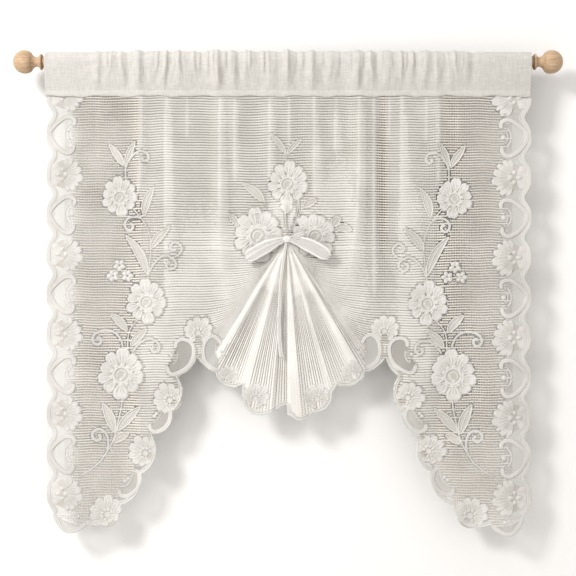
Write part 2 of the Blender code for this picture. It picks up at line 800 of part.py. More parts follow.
def main():
    """Clear the scene and build the curtain."""
    for old in list(bpy.data.objects):
        bpy.data.objects.remove(old, do_unlink=True)
    parts = new_collection("lace_cafe_curtain")
    cutters = new_collection("shapes_joined_in")
    wood = principled("pale_wood", (0.52, 0.37, 0.24), 0.45)
    linen = principled("ivory_linen", (0.80, 0.76, 0.71), 0.85)
    lace = principled("ivory_lace", (0.83, 0.80, 0.75), 0.80)
    ribbon = principled("ivory_ribbon", (0.86, 0.83, 0.78), 0.50)
    make_rod(wood, parts)
    make_finial("finial_left", -1, wood, parts)
    make_finial("finial_right", 1, wood, parts)
    make_heading(linen, parts)
    make_panel(lace, parts)
    make_tie(ribbon, parts, cutters)


main()
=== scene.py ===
# %% [markdown]
# # A lace cafe curtain on its wooden rod
# An ivory lace panel hangs from a gathered linen heading, and a ribbon bow pinches its middle
# up into a fan of pleats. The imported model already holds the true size, the folds and the
# outline. This lesson dresses it: real threads, raised flowers, slubby linen and wood grain.
# Everything is in metres, +Z is up, and the front of the curtain looks along -Y.

# %% Load the fixed frame
import math

import bpy
import numpy as np
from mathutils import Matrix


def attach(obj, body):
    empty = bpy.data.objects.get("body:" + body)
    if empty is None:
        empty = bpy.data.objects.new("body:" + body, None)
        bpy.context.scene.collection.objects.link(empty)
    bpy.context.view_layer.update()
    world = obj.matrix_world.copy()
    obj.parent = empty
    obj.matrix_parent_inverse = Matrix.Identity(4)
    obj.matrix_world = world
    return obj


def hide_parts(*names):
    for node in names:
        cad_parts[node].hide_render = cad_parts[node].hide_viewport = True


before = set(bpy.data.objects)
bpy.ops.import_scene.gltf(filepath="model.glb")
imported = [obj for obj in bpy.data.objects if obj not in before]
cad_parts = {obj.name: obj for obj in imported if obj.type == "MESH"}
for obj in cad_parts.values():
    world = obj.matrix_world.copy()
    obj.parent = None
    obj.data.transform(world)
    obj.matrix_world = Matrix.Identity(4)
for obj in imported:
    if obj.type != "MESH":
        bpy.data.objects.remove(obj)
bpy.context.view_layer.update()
print("parts in the frame:", ", ".join(sorted(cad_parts)))

# %% [markdown]
# ## The camera
# The curtain is seen straight from the front, level with its middle. A long lens from far
# off keeps the side borders upright. Its focal length is worked out from the width that has
# to fit in the view, instead of being tried by eye.

# %% Camera
CAMERA_HEIGHT = -0.481
CAMERA_DISTANCE = 2.65
SEEN_WIDTH = 1.2257


def into_scene(name, data):
    """A new object in the scene, made of the given data."""
    thing = bpy.data.objects.new(name, data)
    bpy.context.scene.collection.objects.link(thing)
    return thing


lens = bpy.data.cameras.new("front_view")
lens.sensor_width = 36.0
lens.lens = lens.sensor_width * CAMERA_DISTANCE / SEEN_WIDTH
camera = into_scene("front_view", lens)
camera.location = (0.0, -CAMERA_DISTANCE, CAMERA_HEIGHT)
camera.rotation_euler = (math.radians(90.0), 0.0, 0.0)
bpy.context.scene.camera = camera
print("focal length in mm:", round(lens.lens, 1))

# %% [markdown]
# ## The hang of the cloth
# Every thread follows the same folds, so they are written once, as one function: for a place
# in the front view it gives how far forward the cloth lies. Cloth simulation could drop a
# flat sheet, but it would not land on the folds of this curtain. The tables are the folds
# themselves: long gathers under the heading, pleats that spread from the knot, soft hollows
# beside them, and two creases that run up from the knot.

# %% Soft steps and ridges
def smooth(value):
    """0 to 1 with a soft start and a soft end."""
    value = np.clip(value, 0.0, 1.0)
    return value * value * (3.0 - 2.0 * value)


def ridge(distance, width):
    """A soft ridge's share of its height at a distance from its line."""
    return np.exp(-(distance / width) ** 2)


# %% The folds in numbers
PANEL_Y = -0.006
PANEL_TOP = -0.0635
HEADING_FOOT = -0.0745
KNOT_X = -0.002
KNOT_Z = -0.378
# How far the cloth stands forward at the knot and in the tails' wave, how far the side
# borders turn back, and how far the lace falls back between the gathers
PINCH_RISE = 0.016
TAIL_WAVE = 0.0045
BORDER_TURN = 0.006
VALLEY = 0.005

# The tables are in tenths of a millimetre
TENTHS = 10000.0
# Long gathers: x, drift, width, rise in the linen, rise in the lace, height where it ends
GATHERS = np.array((
    (-4040, 0, 140, 40, 30, -2200), (-3150, -100, 100, 70, 120, -3000),
    (-2620, 40, 280, 60, 120, -5800), (-2170, 0, 100, 45, 30, -1700),
    (-1468, 200, 120, 80, 140, -5500), (-1158, 0, 100, 50, 70, -2700),
    (-415, -50, 150, 60, 90, -3000), (-10, 0, 100, 55, 40, -2000),
    (523, 40, 150, 65, 85, -3200), (979, 0, 100, 50, 45, -2000),
    (1480, -400, 125, 85, 210, -5250), (1788, 20, 150, 50, 100, -5200),
    (2120, 0, 100, 45, 30, -1800), (2383, 30, 210, 60, 65, -4600),
    (2894, 0, 100, 45, 30, -1800), (3150, 20, 105, 65, 100, -2800),
    (3575, 0, 120, 40, 30, -2000),
)) / TENTHS
# The fan's ridges and troughs: where each runs out at the hem, and its rise
PLEATS = np.array((
    (-2300, -6400, 0), (-1778, -6460, -40), (-1628, -6560, 60), (-1356, -6870, -35),
    (-964, -6930, 95), (-611, -7500, 20), (-355, -7450, 95), (-253, -7400, -45),
    (-40, -7290, -65), (50, -7480, 110), (254, -7620, 100), (491, -7510, -60),
    (919, -7200, 60), (1283, -6900, -75), (1590, -6700, 105), (1767, -6560, -80),
    (2250, -6400, 0),
)) / TENTHS
PLEAT_SLOPES = (PLEATS[:, 0] - KNOT_X) / (KNOT_Z - PLEATS[:, 1])
FAN_SOFTNESS = 0.46
GATHER_SHARE = 0.68

# Swells and hollows: x, z, half width, half height, rise
SWELLS = np.array((
    (-936, -4660, 340, 400, -10), (840, -4470, 320, 360, -30), (-277, -3430, 160, 260, 60),
    (-600, -3720, 450, 450, 40), (560, -3700, 450, 450, 20), (-1250, -5600, 450, 600, 50),
    (1250, -5600, 450, 600, 50),
)) / TENTHS
# Creases that run up from the knot: top x, top z, width, rise
CREASES = np.array(((-80, -2850, 60, 34), (226, -2910, 60, 34))) / TENTHS
print(len(GATHERS), "gathers and", len(PLEATS), "lines in the fan")


# %% How far forward the cloth lies
def along_gather(x, z, at, drift, reach):
    """How far down a gather each place lies, from 0 to 1, and how far beside it."""
    fall = np.clip((HEADING_FOOT - z) / (HEADING_FOOT - reach), 0.0, 1.0)
    return fall, x - at - drift * fall ** 4.5


def gather_rise(x, z):
    """The long gathers under the heading, which die out one by one further down."""
    total = np.zeros(np.broadcast(x, z).shape)
    for at, drift, width, _, rise, reach in GATHERS:
        fall, away = along_gather(x, z, at, drift, reach)
        left = 1.0 - smooth((fall - 0.5) / 0.5)
        total += GATHER_SHARE * rise * left * ridge(away, np.where(away > 0.0, 1.7, 1.1) * width)
    return total * (0.4 + 0.6 * smooth((HEADING_FOOT - z) / 0.055))


def fan_rise(x, z):
    """The pleats that spread from the knot: soft steps from ridge to trough."""
    drop = np.maximum(KNOT_Z - z, 1e-6)
    slope = (x - KNOT_X) / drop
    right = np.clip(np.searchsorted(PLEAT_SLOPES, slope), 1, len(PLEATS) - 1)
    low, high = PLEAT_SLOPES[right - 1], PLEAT_SLOPES[right]
    share = smooth((slope - low) / (high - low))
    rise = PLEATS[right - 1, 2] + (PLEATS[right, 2] - PLEATS[right - 1, 2]) * share
    within = (z < KNOT_Z) & (slope > PLEAT_SLOPES[0]) & (slope < PLEAT_SLOPES[-1])
    return np.where(within, FAN_SOFTNESS * smooth(drop / 0.080) * rise, 0.0)


def pinch_rise(x, z):
    """The bundle drawn forward at the knot, with its two upward creases."""
    drop = KNOT_Z - z
    below = ridge(x - KNOT_X, 0.036 + 0.22 * np.maximum(drop, 0.0)) * ridge(drop, 0.300)
    above = ridge(x - KNOT_X, 0.036) * ridge(drop, 0.050)
    rise = PINCH_RISE * np.where(drop > 0.0, below, above)
    for top_x, top_z, width, height in CREASES:
        share = np.clip((z - KNOT_Z) / (top_z - KNOT_Z), 0.0, 1.0)
        line = KNOT_X + (top_x - KNOT_X) * share
        rise = rise + height * np.sin(np.pi * share) * ridge(x - line, width)
    return rise


def tail_rise(x, z):
    """The slow wave of the side tails, and the borders that turn back a little."""
    lowered = smooth((-0.20 - z) / 0.55)
    wave = TAIL_WAVE * lowered * np.sin(2.0 * np.pi * np.abs(x) / 0.205)
    return wave - BORDER_TURN * smooth((np.abs(x) - 0.455) / 0.060) * (0.4 + 0.6 * lowered)


def valley_depth(x, z):
    """Between the gathers the lace falls back below the heading."""
    across = 1.0 - smooth((np.abs(x) - 0.36) / 0.12 + 0.5)
    down = smooth((HEADING_FOOT - z) / 0.055)
    return VALLEY * across * down * (1.0 - 0.6 * smooth(z / -0.667))


def cloth_y(x, z):
    """The middle of the lace's thickness at a place of the front view."""
    x, z = np.asarray(x, float), np.asarray(z, float)
    rise = gather_rise(x, z) + fan_rise(x, z) + pinch_rise(x, z) + tail_rise(x, z)
    for at_x, at_z, wide, high, height in SWELLS:
        rise = rise + height * ridge(x - at_x, wide) * ridge(z - at_z, high)
    return PANEL_Y + valley_depth(x, z) - rise


print("cloth at the knot, y in mm:", round(1000 * float(cloth_y(KNOT_X, KNOT_Z)), 1))

# %% [markdown]
# ## The edge of the panel
# The lace has no sewn hem: its edge is woven as scallops. Both sides bulge at every flower
# and heart, and the hem climbs in scallops from each tail to an arch. The sizes are the same
# as the solid's, and here they are sampled more finely.

# %% Outline
# Where an edge bulges furthest, its first flower's height, its repeat, its lobes
BORDERS = {-1: (-0.5135, -0.0702, 0.1694, 10.5), 1: (0.5175, -0.0765, 0.1700, 10.5)}
BORDER_BULGE = 0.014
LAST_BULGE = 0.0330
EDGE_STEP = 0.003

# Hem from the left tail to the right: each scallop's far end and how far it bulges
HEM = np.array((
    (-4256, -9827, 300), (-3543, -9416, 210), (-3128, -8767, 160), (-2898, -7916, 210),
    (-2456, -7427, 160), (-2351, -6682, 160), (-1936, -6288, 75), (-1543, -6597, 40),
    (-958, -6852, 180), (-149, -7331, 430), (-26, -7288, 0), (-13, -7491, 0),
    (53, -7491, 20), (532, -7459, 150), (936, -7001, 150), (1032, -6852, 20),
    (1639, -6597, 160), (2077, -6288, 60), (2345, -6682, 50), (2422, -7437, 155),
    (2798, -8012, 100), (3028, -8693, 180), (3522, -9427, 170), (4284, -9849, 255),
)) / TENTHS


def border_x(side, z):
    """A side edge with a bulge at each flower and each heart."""
    edge, first, repeat, _ = BORDERS[side]
    return edge - side * BORDER_BULGE * np.sin(np.pi * (first - z) / (repeat / 2.0)) ** 4


def border_line(side):
    """A side edge from under the heading down to its last valley, in metres."""
    _, first, repeat, lobes = BORDERS[side]
    foot = first - lobes * repeat / 2.0
    z = np.linspace(PANEL_TOP, foot, round((PANEL_TOP - foot) / EDGE_STEP))
    return np.column_stack([border_x(side, z), z])


def scallop(start, end, bulge, step=EDGE_STEP):
    """An arc that bulges to the right of the way from start to end."""
    start, end = np.asarray(start), np.asarray(end)
    chord = end - start
    length = np.hypot(*chord)
    along = np.linspace(-1.0, 1.0, max(3, round((length + bulge) / step)))[1:, None]
    outward = np.array((chord[1], -chord[0])) / length
    rise = bulge * np.maximum(np.cos(along * np.pi / 2.0), 0.0) ** 0.75
    return (start + end) / 2.0 + chord * along / 2.0 + outward * rise


def hem_line():
    """The hem from the foot of the left edge to the foot of the right one."""
    line = [border_line(-1)[-1:]]
    for x, z, bulge in HEM:
        line.append(scallop(line[-1][-1], (x, z), bulge))
    line.append(scallop(line[-1][-1], border_line(1)[-1], LAST_BULGE))
    return np.vstack(line)


edge_line = np.vstack([border_line(-1), hem_line()[1:-1], border_line(1)[::-1]])
print("length of the scalloped edge in m:",
      round(float(np.hypot(*np.diff(edge_line, axis=0).T).sum()), 2))


# %% Which places lie inside a closed line
def inside(points, line):
    """True for each point that the closed line goes round."""
    points, line = np.asarray(points, float), np.asarray(line, float)
    within = np.zeros(len(points), bool)
    low, high = line.min(axis=0), line.max(axis=0)
    near = np.flatnonzero(((points >= low) & (points <= high)).all(axis=1))
    x, z = points[near, 0], points[near, 1]
    crossed = np.zeros(len(near), bool)
    for (ax, az), (bx, bz) in zip(line, np.roll(line, -1, axis=0)):
        if az != bz:
            hit = (az > z) != (bz > z)
            crossed ^= hit & (x < ax + (z - az) * (bx - ax) / (bz - az))
    within[near] = crossed
    return within


print("the knot is on the lace:", bool(inside([(KNOT_X, KNOT_Z)], edge_line)[0]))

# %% [markdown]
# ## The finishes
# Cotton lace is matt and slightly warm. Bars, packed motifs and gathered cloth each get
# their own mix of two close ivories, with a fine twist in the bump. The gathered cloth's mix
# is a lighter copy, a painted highlight, and the left border's a darker copy, painted shade.
# More copies paint shade and highlight: the threads deep between the bars are painted browner
# as shade, grooves, bowls, meshes, rims and drawn-up bars are painted darker, and fold crests
# and leaf cords get a painted highlight. All are plain Principled shaders: cotton, linen,
# ribbon and wood are non-metals, whose look comes from colour, roughness and fine relief.

# %% Material helpers
def add_node(tree, kind, output, **inputs):
    """A new node's output, once each input has its value or its link."""
    node = tree.nodes.new("ShaderNode" + kind)
    for name, value in inputs.items():
        if isinstance(value, bpy.types.NodeSocket):
            tree.links.new(value, node.inputs[name])
        elif value is not None:
            node.inputs[name].default_value = value
    return node.outputs[output]


def new_finish(name, roughness, sheen=0.0, gloss=0.3):
    """A material with its shader, its node tree and object coordinates."""
    finish = bpy.data.materials.new(name)
    finish.use_nodes = True
    tree = finish.node_tree
    shader = tree.nodes["Principled BSDF"]
    for socket, value in (("Roughness", roughness), ("Metallic", 0.0),
                          ("Specular IOR Level", gloss), ("Sheen Weight", sheen)):
        shader.inputs[socket].default_value = value
    return finish, tree, shader, add_node(tree, "TexCoord", "Object")


def cloudy(tree, place, scale, detail=3.0):
    """Soft irregular noise over the surface."""
    return add_node(tree, "TexNoise", "Fac", Scale=scale, Detail=detail, Vector=place)


def streaky(tree, place, scale, detail=2.0):
    """Noise that repeats closely or widely along each axis by its own scale."""
    stretched = add_node(tree, "Mapping", "Vector", Scale=scale, Vector=place)
    return cloudy(tree, stretched, 1.0, detail)


def two_tones(tree, shader, factor, dark, light, low=0.35, high=0.65):
    """The shader's colour: two near tones, blended where the pattern goes from low to high."""
    ramp = tree.nodes.new("ShaderNodeValToRGB")
    for stop, position, tone in zip(ramp.color_ramp.elements, (low, high), (dark, light)):
        stop.position, stop.color = position, (*tone, 1.0)
    tree.links.new(factor, ramp.inputs["Fac"])
    tree.links.new(ramp.outputs["Color"], shader.inputs["Base Color"])


def add_bump(tree, shader, height, strength, distance, under=None):
    """Fine relief for the shader, on top of a wider relief if one is given."""
    bump = add_node(tree, "Bump", "Normal", Strength=strength, Distance=distance,
                    Height=height, Normal=under)
    tree.links.new(bump, shader.inputs["Normal"])
    return bump


# %% Cotton: net threads and packed motifs
def cotton(name, dark, light, twist):
    """Matt yarn: a slow drift in tone, and the fine twist of the thread as bump."""
    finish, tree, shader, place = new_finish(name, 0.88, sheen=0.15)
    two_tones(tree, shader, cloudy(tree, place, 14.0), dark, light)
    wide = add_bump(tree, shader, cloudy(tree, place, 260.0), 0.5, 0.0006)
    add_bump(tree, shader, streaky(tree, place, twist), 0.5, 0.0004, wide)
    return finish


# Name, dark tone, light tone, and how closely the twist repeats, level and upright
COTTONS = (
    ("net_bars", (0.635, 0.607, 0.560), (0.705, 0.677, 0.630), 500.0, 1800.0),
    # A lighter copy of the net for gathered cloth: painted highlight
    ("gathered_net_painted_highlight", (0.68, 0.665, 0.634), (0.75, 0.738, 0.710), 1200.0, 300.0),
    ("packed_lace", (0.575, 0.564, 0.541), (0.65, 0.639, 0.616), 1400.0, 1400.0),
    # A darker copy for the left border: painted shade
    ("packed_lace_left_painted_shade", (0.545, 0.535, 0.513), (0.617, 0.606, 0.584), 1400.0, 1400.0),
    # Brown painted shade for threads deep between bars, and for steep sides
    ("painted_shade_brown", (0.46, 0.412, 0.350), (0.54, 0.492, 0.428), 1400.0, 1400.0),
    # Grey painted shade for grooves, bowls, meshes and rims
    ("painted_shade_grey", (0.47, 0.450, 0.418), (0.54, 0.520, 0.488), 1400.0, 1400.0),
    # Mild painted shade for drawn-up bars, open threads and leaf meshes
    ("painted_shade_mild", (0.554, 0.537, 0.505), (0.615, 0.598, 0.566), 500.0, 1800.0),
    # Painted highlight for fold crests and leaf cords
    ("painted_highlight_net", (0.610, 0.594, 0.564), (0.675, 0.659, 0.629), 500.0, 1800.0),
)
NET_FINISH, HIGHLIGHT_PAINTED_FAN_FINISH, MOTIF_FINISH, SHADE_PAINTED_LEFT_FINISH, *PAINTED_LIGHT_FINISHES = [
    cotton(name, dark, light, (level, level, upright))
    for name, dark, light, level, upright in COTTONS]
# A face's finish on a lace piece: 0 is the piece's own; these are painted shade and highlight
BROWN_SHADE_PAINT, GREY_SHADE_PAINT, MILD_SHADE_PAINT, HIGHLIGHT_PAINT = 1, 2, 3, 4
print("cotton finishes:", ", ".join(row[0] for row in COTTONS))

# %% [markdown]
# ## Drawing lace in relief
# A flower of machine lace could be sculpted, or displaced from a picture, but a few drawn
# forms are lighter and stay crisp: a petal, a bead, a cord and a fine mesh. Each is drawn in
# millimetres of the front view as x, z and height above the net, and the finished drawing is
# laid on the folds in one go. A map of packed places remembers where the net has to stop.

# %% The map of packed places
MAP_STEP = 0.75
MAP_CORNER = (-540.0, -1030.0)
packed = np.zeros((1440, 1440), bool)


def map_cell(x, z):
    """The cell of the map under each place, in millimetres of the front view."""
    across = np.clip((np.ravel(x) - MAP_CORNER[0]) / MAP_STEP, 0, packed.shape[0] - 1)
    up = np.clip((np.ravel(z) - MAP_CORNER[1]) / MAP_STEP, 0, packed.shape[1] - 1)
    return across.astype(int), up.astype(int)


def mark_line(line):
    """Mark all that a closed line goes round as packed."""
    line = np.asarray(line, float)
    low, high = line.min(axis=0), line.max(axis=0)
    x, z = np.meshgrid(np.arange(low[0], high[0], MAP_STEP), np.arange(low[1], high[1], MAP_STEP))
    places = np.column_stack([x.ravel(), z.ravel()])
    hit = places[inside(places, line)]
    packed[map_cell(hit[:, 0], hit[:, 1])] = True


def mark_faces(x, z, faces):
    """Mark what the faces of a drawn form cover as packed."""
    x, z = np.ravel(x)[faces], np.ravel(z)[faces]
    for a in np.linspace(0.0, 1.0, 7):
        for b in np.linspace(0.0, 1.0, 7):
            share = np.array(((1 - a) * (1 - b), a * (1 - b), a * b, (1 - a) * b))
            packed[map_cell(x @ share, z @ share)] = True


def grown(marked, steps):
    """The marked places with a rim of a few cells round them."""
    wide = marked.copy()
    for _ in range(steps):
        sides = wide[:-2, 1:-1] | wide[2:, 1:-1] | wide[1:-1, :-2] | wide[1:-1, 2:]
        wide[1:-1, 1:-1] |= sides
    return wide


# %% The drawing board
class Lacework:
    """Relief drawn in the front view, in millimetres, and laid on the hanging cloth."""

    def __init__(self, name):
        self.name = name
        self.points = []
        self.faces = []
        self.deep = []
        self.total = 0

    def add(self, x, z, height, faces, packs=True, deep=0):
        """Add a form: places, height above the net, faces, and a painted shade or highlight (0:
        none).
        """
        self.deep.append(np.zeros(len(faces), int) + deep)
        if packs:
            mark_faces(x, z, faces)
        places = np.column_stack([np.ravel(x), np.ravel(z), np.ravel(height)])
        used, numbers = np.unique(faces, return_inverse=True)
        self.points.append(places[used])
        self.faces.append(numbers.reshape(faces.shape) + self.total)
        self.total += len(used)

    def piece(self, finish):
        """One object from all the forms, bent into the folds."""
        x, z, height = (np.concatenate(self.points) / 1000.0).T
        places = np.column_stack([x, cloth_y(x, z) - height, z])
        made = mesh_piece(self.name, places, np.concatenate(self.faces), finish)
        # The painted shade and painted highlight copies of the cotton follow the piece's own
        # finish
        for other in PAINTED_LIGHT_FINISHES:
            made.data.materials.append(other)
        made.data.polygons.foreach_set("material_index", np.concatenate(self.deep))
        return made


def mesh_piece(name, places, faces, finish):
    """A smooth-shaded object that rides with the curtain."""
    mesh = bpy.data.meshes.new(name)
    mesh.from_pydata(places.tolist(), [], faces.tolist())
    mesh.shade_smooth()
    mesh.materials.append(finish)
    piece = into_scene(name, mesh)
    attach(piece, "root")
    triangles = sum(len(face.vertices) - 2 for face in mesh.polygons)
    print(f"{name}: {triangles} triangles")
    return piece


def thicken(piece, thickness):
    """Give a sheet its thickness, half in front and half behind."""
    shell = piece.modifiers.new("thickness", "SOLIDIFY")
    shell.thickness = thickness
    shell.offset = 0.0


def grid_faces(rows, columns):
    """The four-cornered faces of a grid whose points are numbered row by row."""
    corner = np.arange(rows * columns).reshape(rows, columns)
    faces = [corner[:-1, :-1], corner[:-1, 1:], corner[1:, 1:], corner[1:, :-1]]
    return np.stack(faces, axis=-1).reshape(-1, 4)


def rows_and_columns(grid):
    """The row and the column of each face of a grid."""
    rows, columns = grid.shape
    return np.divmod(np.arange((rows - 1) * (columns - 1)), columns - 1)


def face_middles(x, z, faces):
    """Where the middle of each face lies in the front view."""
    return np.ravel(x)[faces].mean(axis=-1), np.ravel(z)[faces].mean(axis=-1)


# %% Soft lines
def way_along(line):
    """How far along a line each of its points lies."""
    return np.concatenate([[0.0], np.cumsum(np.hypot(*np.diff(line, axis=0).T))])


def even_steps(line, step):
    """The line again, with its points at even steps along it."""
    line = np.asarray(line, float)
    along = way_along(line)
    at = np.linspace(0.0, along[-1], max(3, round(along[-1] / step) + 1))
    return np.column_stack([np.interp(at, along, line[:, 0]), np.interp(at, along, line[:, 1])])


def soft_line(points, step):
    """A smooth curve through a few points."""
    points = np.asarray(points, float)
    ends = [2.0 * points[0] - points[1], 2.0 * points[-1] - points[-2]]
    chain = np.vstack([ends[0], points, ends[1]])
    t = np.linspace(0.0, 1.0, 10, endpoint=False)[:, None]
    runs = [((2.0 * b) + (c - a) * t + (2.0 * a - 5.0 * b + 4.0 * c - d) * t ** 2
             + (3.0 * b - a - 3.0 * c + d) * t ** 3) / 2.0
            for a, b, c, d in zip(chain, chain[1:], chain[2:], chain[3:])]
    return even_steps(np.vstack(runs + [points[-1:]]), step)


def beside(line, distance):
    """The line, moved to the left of its way."""
    way = np.gradient(line, axis=0)
    way /= np.maximum(np.hypot(way[:, 0], way[:, 1]), 1e-9)[:, None]
    return line + np.column_stack([-way[:, 1], way[:, 0]]) * np.reshape(distance, (-1, 1))


# %% Cord, bead and flat ground
CORD_ROUND = ((-1.0, 0.0), (-0.7, 0.75), (0.0, 1.0), (0.7, 0.75), (1.0, 0.0))
CORD_DOUBLE = ((-1.0, 0.0), (-0.84, 0.85), (-0.5, 1.0), (-0.1, 0.45), (0.4, 1.0), (0.82, 0.85),
               (1.0, 0.0))


def cord(work, line, width, height, grow=1.0, lift=0.15, section=CORD_ROUND, deep=0):
    """A raised cord along a line: grow is how much wider it is at its far end."""
    line = np.asarray(line, float)
    share = np.linspace(0.0, 1.0, len(line))
    half = width / 2.0 * (1.0 + (grow - 1.0) * share)
    along = way_along(line)
    to_end = np.minimum(along, along[-1] - along)
    half = half * np.sqrt(np.clip((to_end + 0.25 * width) / (0.9 * width), 0.0, 1.0))
    x, z = np.stack([beside(line, half * across) for across, _ in section]).T
    rounding = np.array([up for _, up in section])
    work.add(x, z, lift + height * rounding + 0.0 * x, grid_faces(*x.shape), deep=deep)


def disc_grid(cells):
    """A square grid drawn out to a disc, so that its middle has no crowded point."""
    a, b = np.meshgrid(np.linspace(-1, 1, cells + 1), np.linspace(-1, 1, cells + 1))
    return a * np.sqrt(1.0 - b * b / 2.0), b * np.sqrt(1.0 - a * a / 2.0)


def placed(x, z, along, across, degrees):
    """A form's own places, turned by an angle and moved to x and z."""
    c, s = math.cos(math.radians(degrees)), math.sin(math.radians(degrees))
    return x + along * c - across * s, z + along * s + across * c


def bead(work, x, z, radius, height, lift, long=1.0, turn=0.0, cells=4):
    """A small dome, drawn out along its turn if it is long."""
    p, q = disc_grid(cells)
    rise = lift + height * np.sqrt(np.clip(1.0 - p * p - q * q, 0.0, 1.0))
    work.add(*placed(x, z, p * radius * long, q * radius, turn), rise, grid_faces(*p.shape))


def ground(work, x, z, wide, high, height, deep=0):
    """A flat packed patch, an ellipse with soft edges."""
    p, q = disc_grid(6)
    rise = height * np.clip(2.5 * (1.0 - np.hypot(p, q)), 0.0, 1.0)
    work.add(x + p * wide, z + q * high, rise, grid_faces(*p.shape), deep=deep)


# %% Fine mesh inside hearts, crescents and leaves
def mesh_fill(work, line, pitch=2.8, thread=0.95, turn=45.0, lift=0.05, deep=0):
    """Crossing threads inside a closed line: pitch from one thread to the next."""
    line = np.asarray(line, float)
    middle = (line.min(axis=0) + line.max(axis=0)) / 2.0
    count = int(np.hypot(*(line - middle).T).max() / pitch) + 1
    marks = np.arange(-count, count + 1)[:, None] * pitch + (-thread / 2.0, thread / 2.0)
    a, b = np.meshgrid(marks.ravel(), marks.ravel())
    x, z = placed(*middle, a, b, turn)
    faces = grid_faces(*a.shape)
    row, column = rows_and_columns(a)
    open_cell = (row % 2 == 1) & (column % 2 == 1)
    kept = faces[~open_cell & inside(np.column_stack(face_middles(x, z, faces)), line)]
    if len(kept):
        work.add(x, z, np.full(x.shape, lift), kept, packs=False, deep=deep)
    mark_line(line)


# %% [markdown]
# ## Petals and flowers
# A petal of this lace is a fan of thread: narrow and ribbed at the flower's heart, broad
# outside, with a raised cord round its rim and a small nick in it. One petal form serves
# every bloom; only its length, width and place in the ring change. The heart is a deep bowl
# inside a ring of little knobs, with a curled thread and three beads.

# %% Petal
PETAL_HEIGHT = 1.7


def petal(work, x, z, angle, start, reach, width, lift, nick=0.07, ribs=2.5):
    """A ribbed petal from start to reach, measured from the flower's middle."""
    s, t = np.meshgrid(np.linspace(-1.0, 1.0, 13), np.linspace(0.0, 1.0, 10))
    length = 1.0 - 0.26 * np.abs(s) ** 2.6 - nick * ridge(s, 0.24)
    along = start + (reach - start) * t * length
    across = s * width / 2.0 * (0.34 + 0.66 * smooth(t / 0.70))
    inner = np.sqrt(np.clip((1.0 - s ** 8) * (1.0 - t ** 14), 0.0, 1.0))
    rim = np.maximum(ridge(np.abs(s) - 0.80, 0.17) * smooth(t / 0.45), ridge(t - 0.90, 0.10))
    grooves = np.cos(2.0 * np.pi * ribs * s / 2.0) * ridge(t - 0.38, 0.30)
    rise = inner * (lift + PETAL_HEIGHT * (0.36 + 0.64 * rim) + 0.55 * grooves)
    row, column = rows_and_columns(s)
    # The middle columns of the inner grooves are painted grey shade
    shaded_groove_mask = (column % 3 == 2) & (column < 11) & (row > 0) & (row < 5)
    work.add(*placed(x, z, along, across, angle), rise, grid_faces(*s.shape),
             deep=GREY_SHADE_PAINT * shaded_groove_mask)


# %% The heart of a flower
WHOLE_TURN = 2.0 * np.pi
HEART_KNOBS = 10


def circle(x, z, radius, turns, mirror=1):
    """Points round x and z, one for each turn in radians."""
    return np.column_stack([x + mirror * radius * np.cos(turns), z + radius * np.sin(turns)])


def flower_heart(work, x, z, radius, mirror):
    """A bowl in a ring of knobs, with a curled thread and beads."""
    p, q = disc_grid(8)
    rise = -0.9 + 1.4 * np.hypot(p, q) ** 4
    # The bowl is painted grey shade
    work.add(x + p * radius * 0.90, z + q * radius * 0.90, rise, grid_faces(*p.shape),
             deep=GREY_SHADE_PAINT)
    cord(work, circle(x, z, 0.98 * radius, np.linspace(0.0, WHOLE_TURN, 25)), 0.36 * radius, 1.9,
         lift=0.4)
    for knob in range(HEART_KNOBS):
        turn = 360.0 * (knob + 0.35) / HEART_KNOBS
        bead(work, *placed(x, z, 1.22 * radius, 0.0, turn), 0.23 * radius, 1.5, long=1.3,
             turn=turn + 90.0, lift=1.6, cells=3)
    cord(work, circle(x, z, 0.55 * radius, np.radians(np.linspace(215.0, 5.0, 14)), mirror),
         0.20 * radius, 1.1, lift=0.1)
    for at_x, at_z, size in ((-0.05, -0.55, 0.26), (0.42, 0.02, 0.22), (0.24, -0.26, 0.18)):
        bead(work, x + mirror * at_x * radius, z + at_z * radius, size * radius, 1.4, lift=0.3)


# Side flower: angle, share of the radius, width share of the radius
SIDE_PETALS = (
    (88.0, 1.14, 0.60), (57.0, 1.04, 0.44), (32.0, 0.98, 0.52), (-6.0, 0.94, 0.62),
    (-44.0, 0.90, 0.52), (-90.0, 1.02, 0.70), (-134.0, 0.92, 0.52), (-168.0, 0.98, 0.50),
    (157.0, 0.92, 0.50), (123.0, 1.04, 0.52),
)


def side_flower(work, x, z, radius, turn, mirror=1):
    """A wide open flower of the sprays."""
    # The ground under the petals is painted grey shade, dark between them
    ground(work, x, z, 0.76 * radius, 0.76 * radius, 0.4, deep=GREY_SHADE_PAINT)
    for number, (angle, reach, width) in enumerate(SIDE_PETALS):
        angle = angle + turn if mirror > 0 else 180.0 - angle - turn
        petal(work, x, z, angle, 0.34 * radius, reach * radius, 0.90 * width * radius,
              lift=0.4 + 0.5 * (number % 2))
    flower_heart(work, x, z, 0.33 * radius, mirror)


# %% [markdown]
# ## Leaves, stems and scrolls
# Leaves are an outline of cord round a fine mesh. The mesh is painted with a mild shade and
# the cords with a lighter painted highlight, so a leaf reads a shade darker than the petals
# inside its bright outline. Stems are thin cords, and scrolls are cords that thicken into
# their curl. Each line is a few points joined by a smooth curve, the quickest way to put a
# tendril in its place.

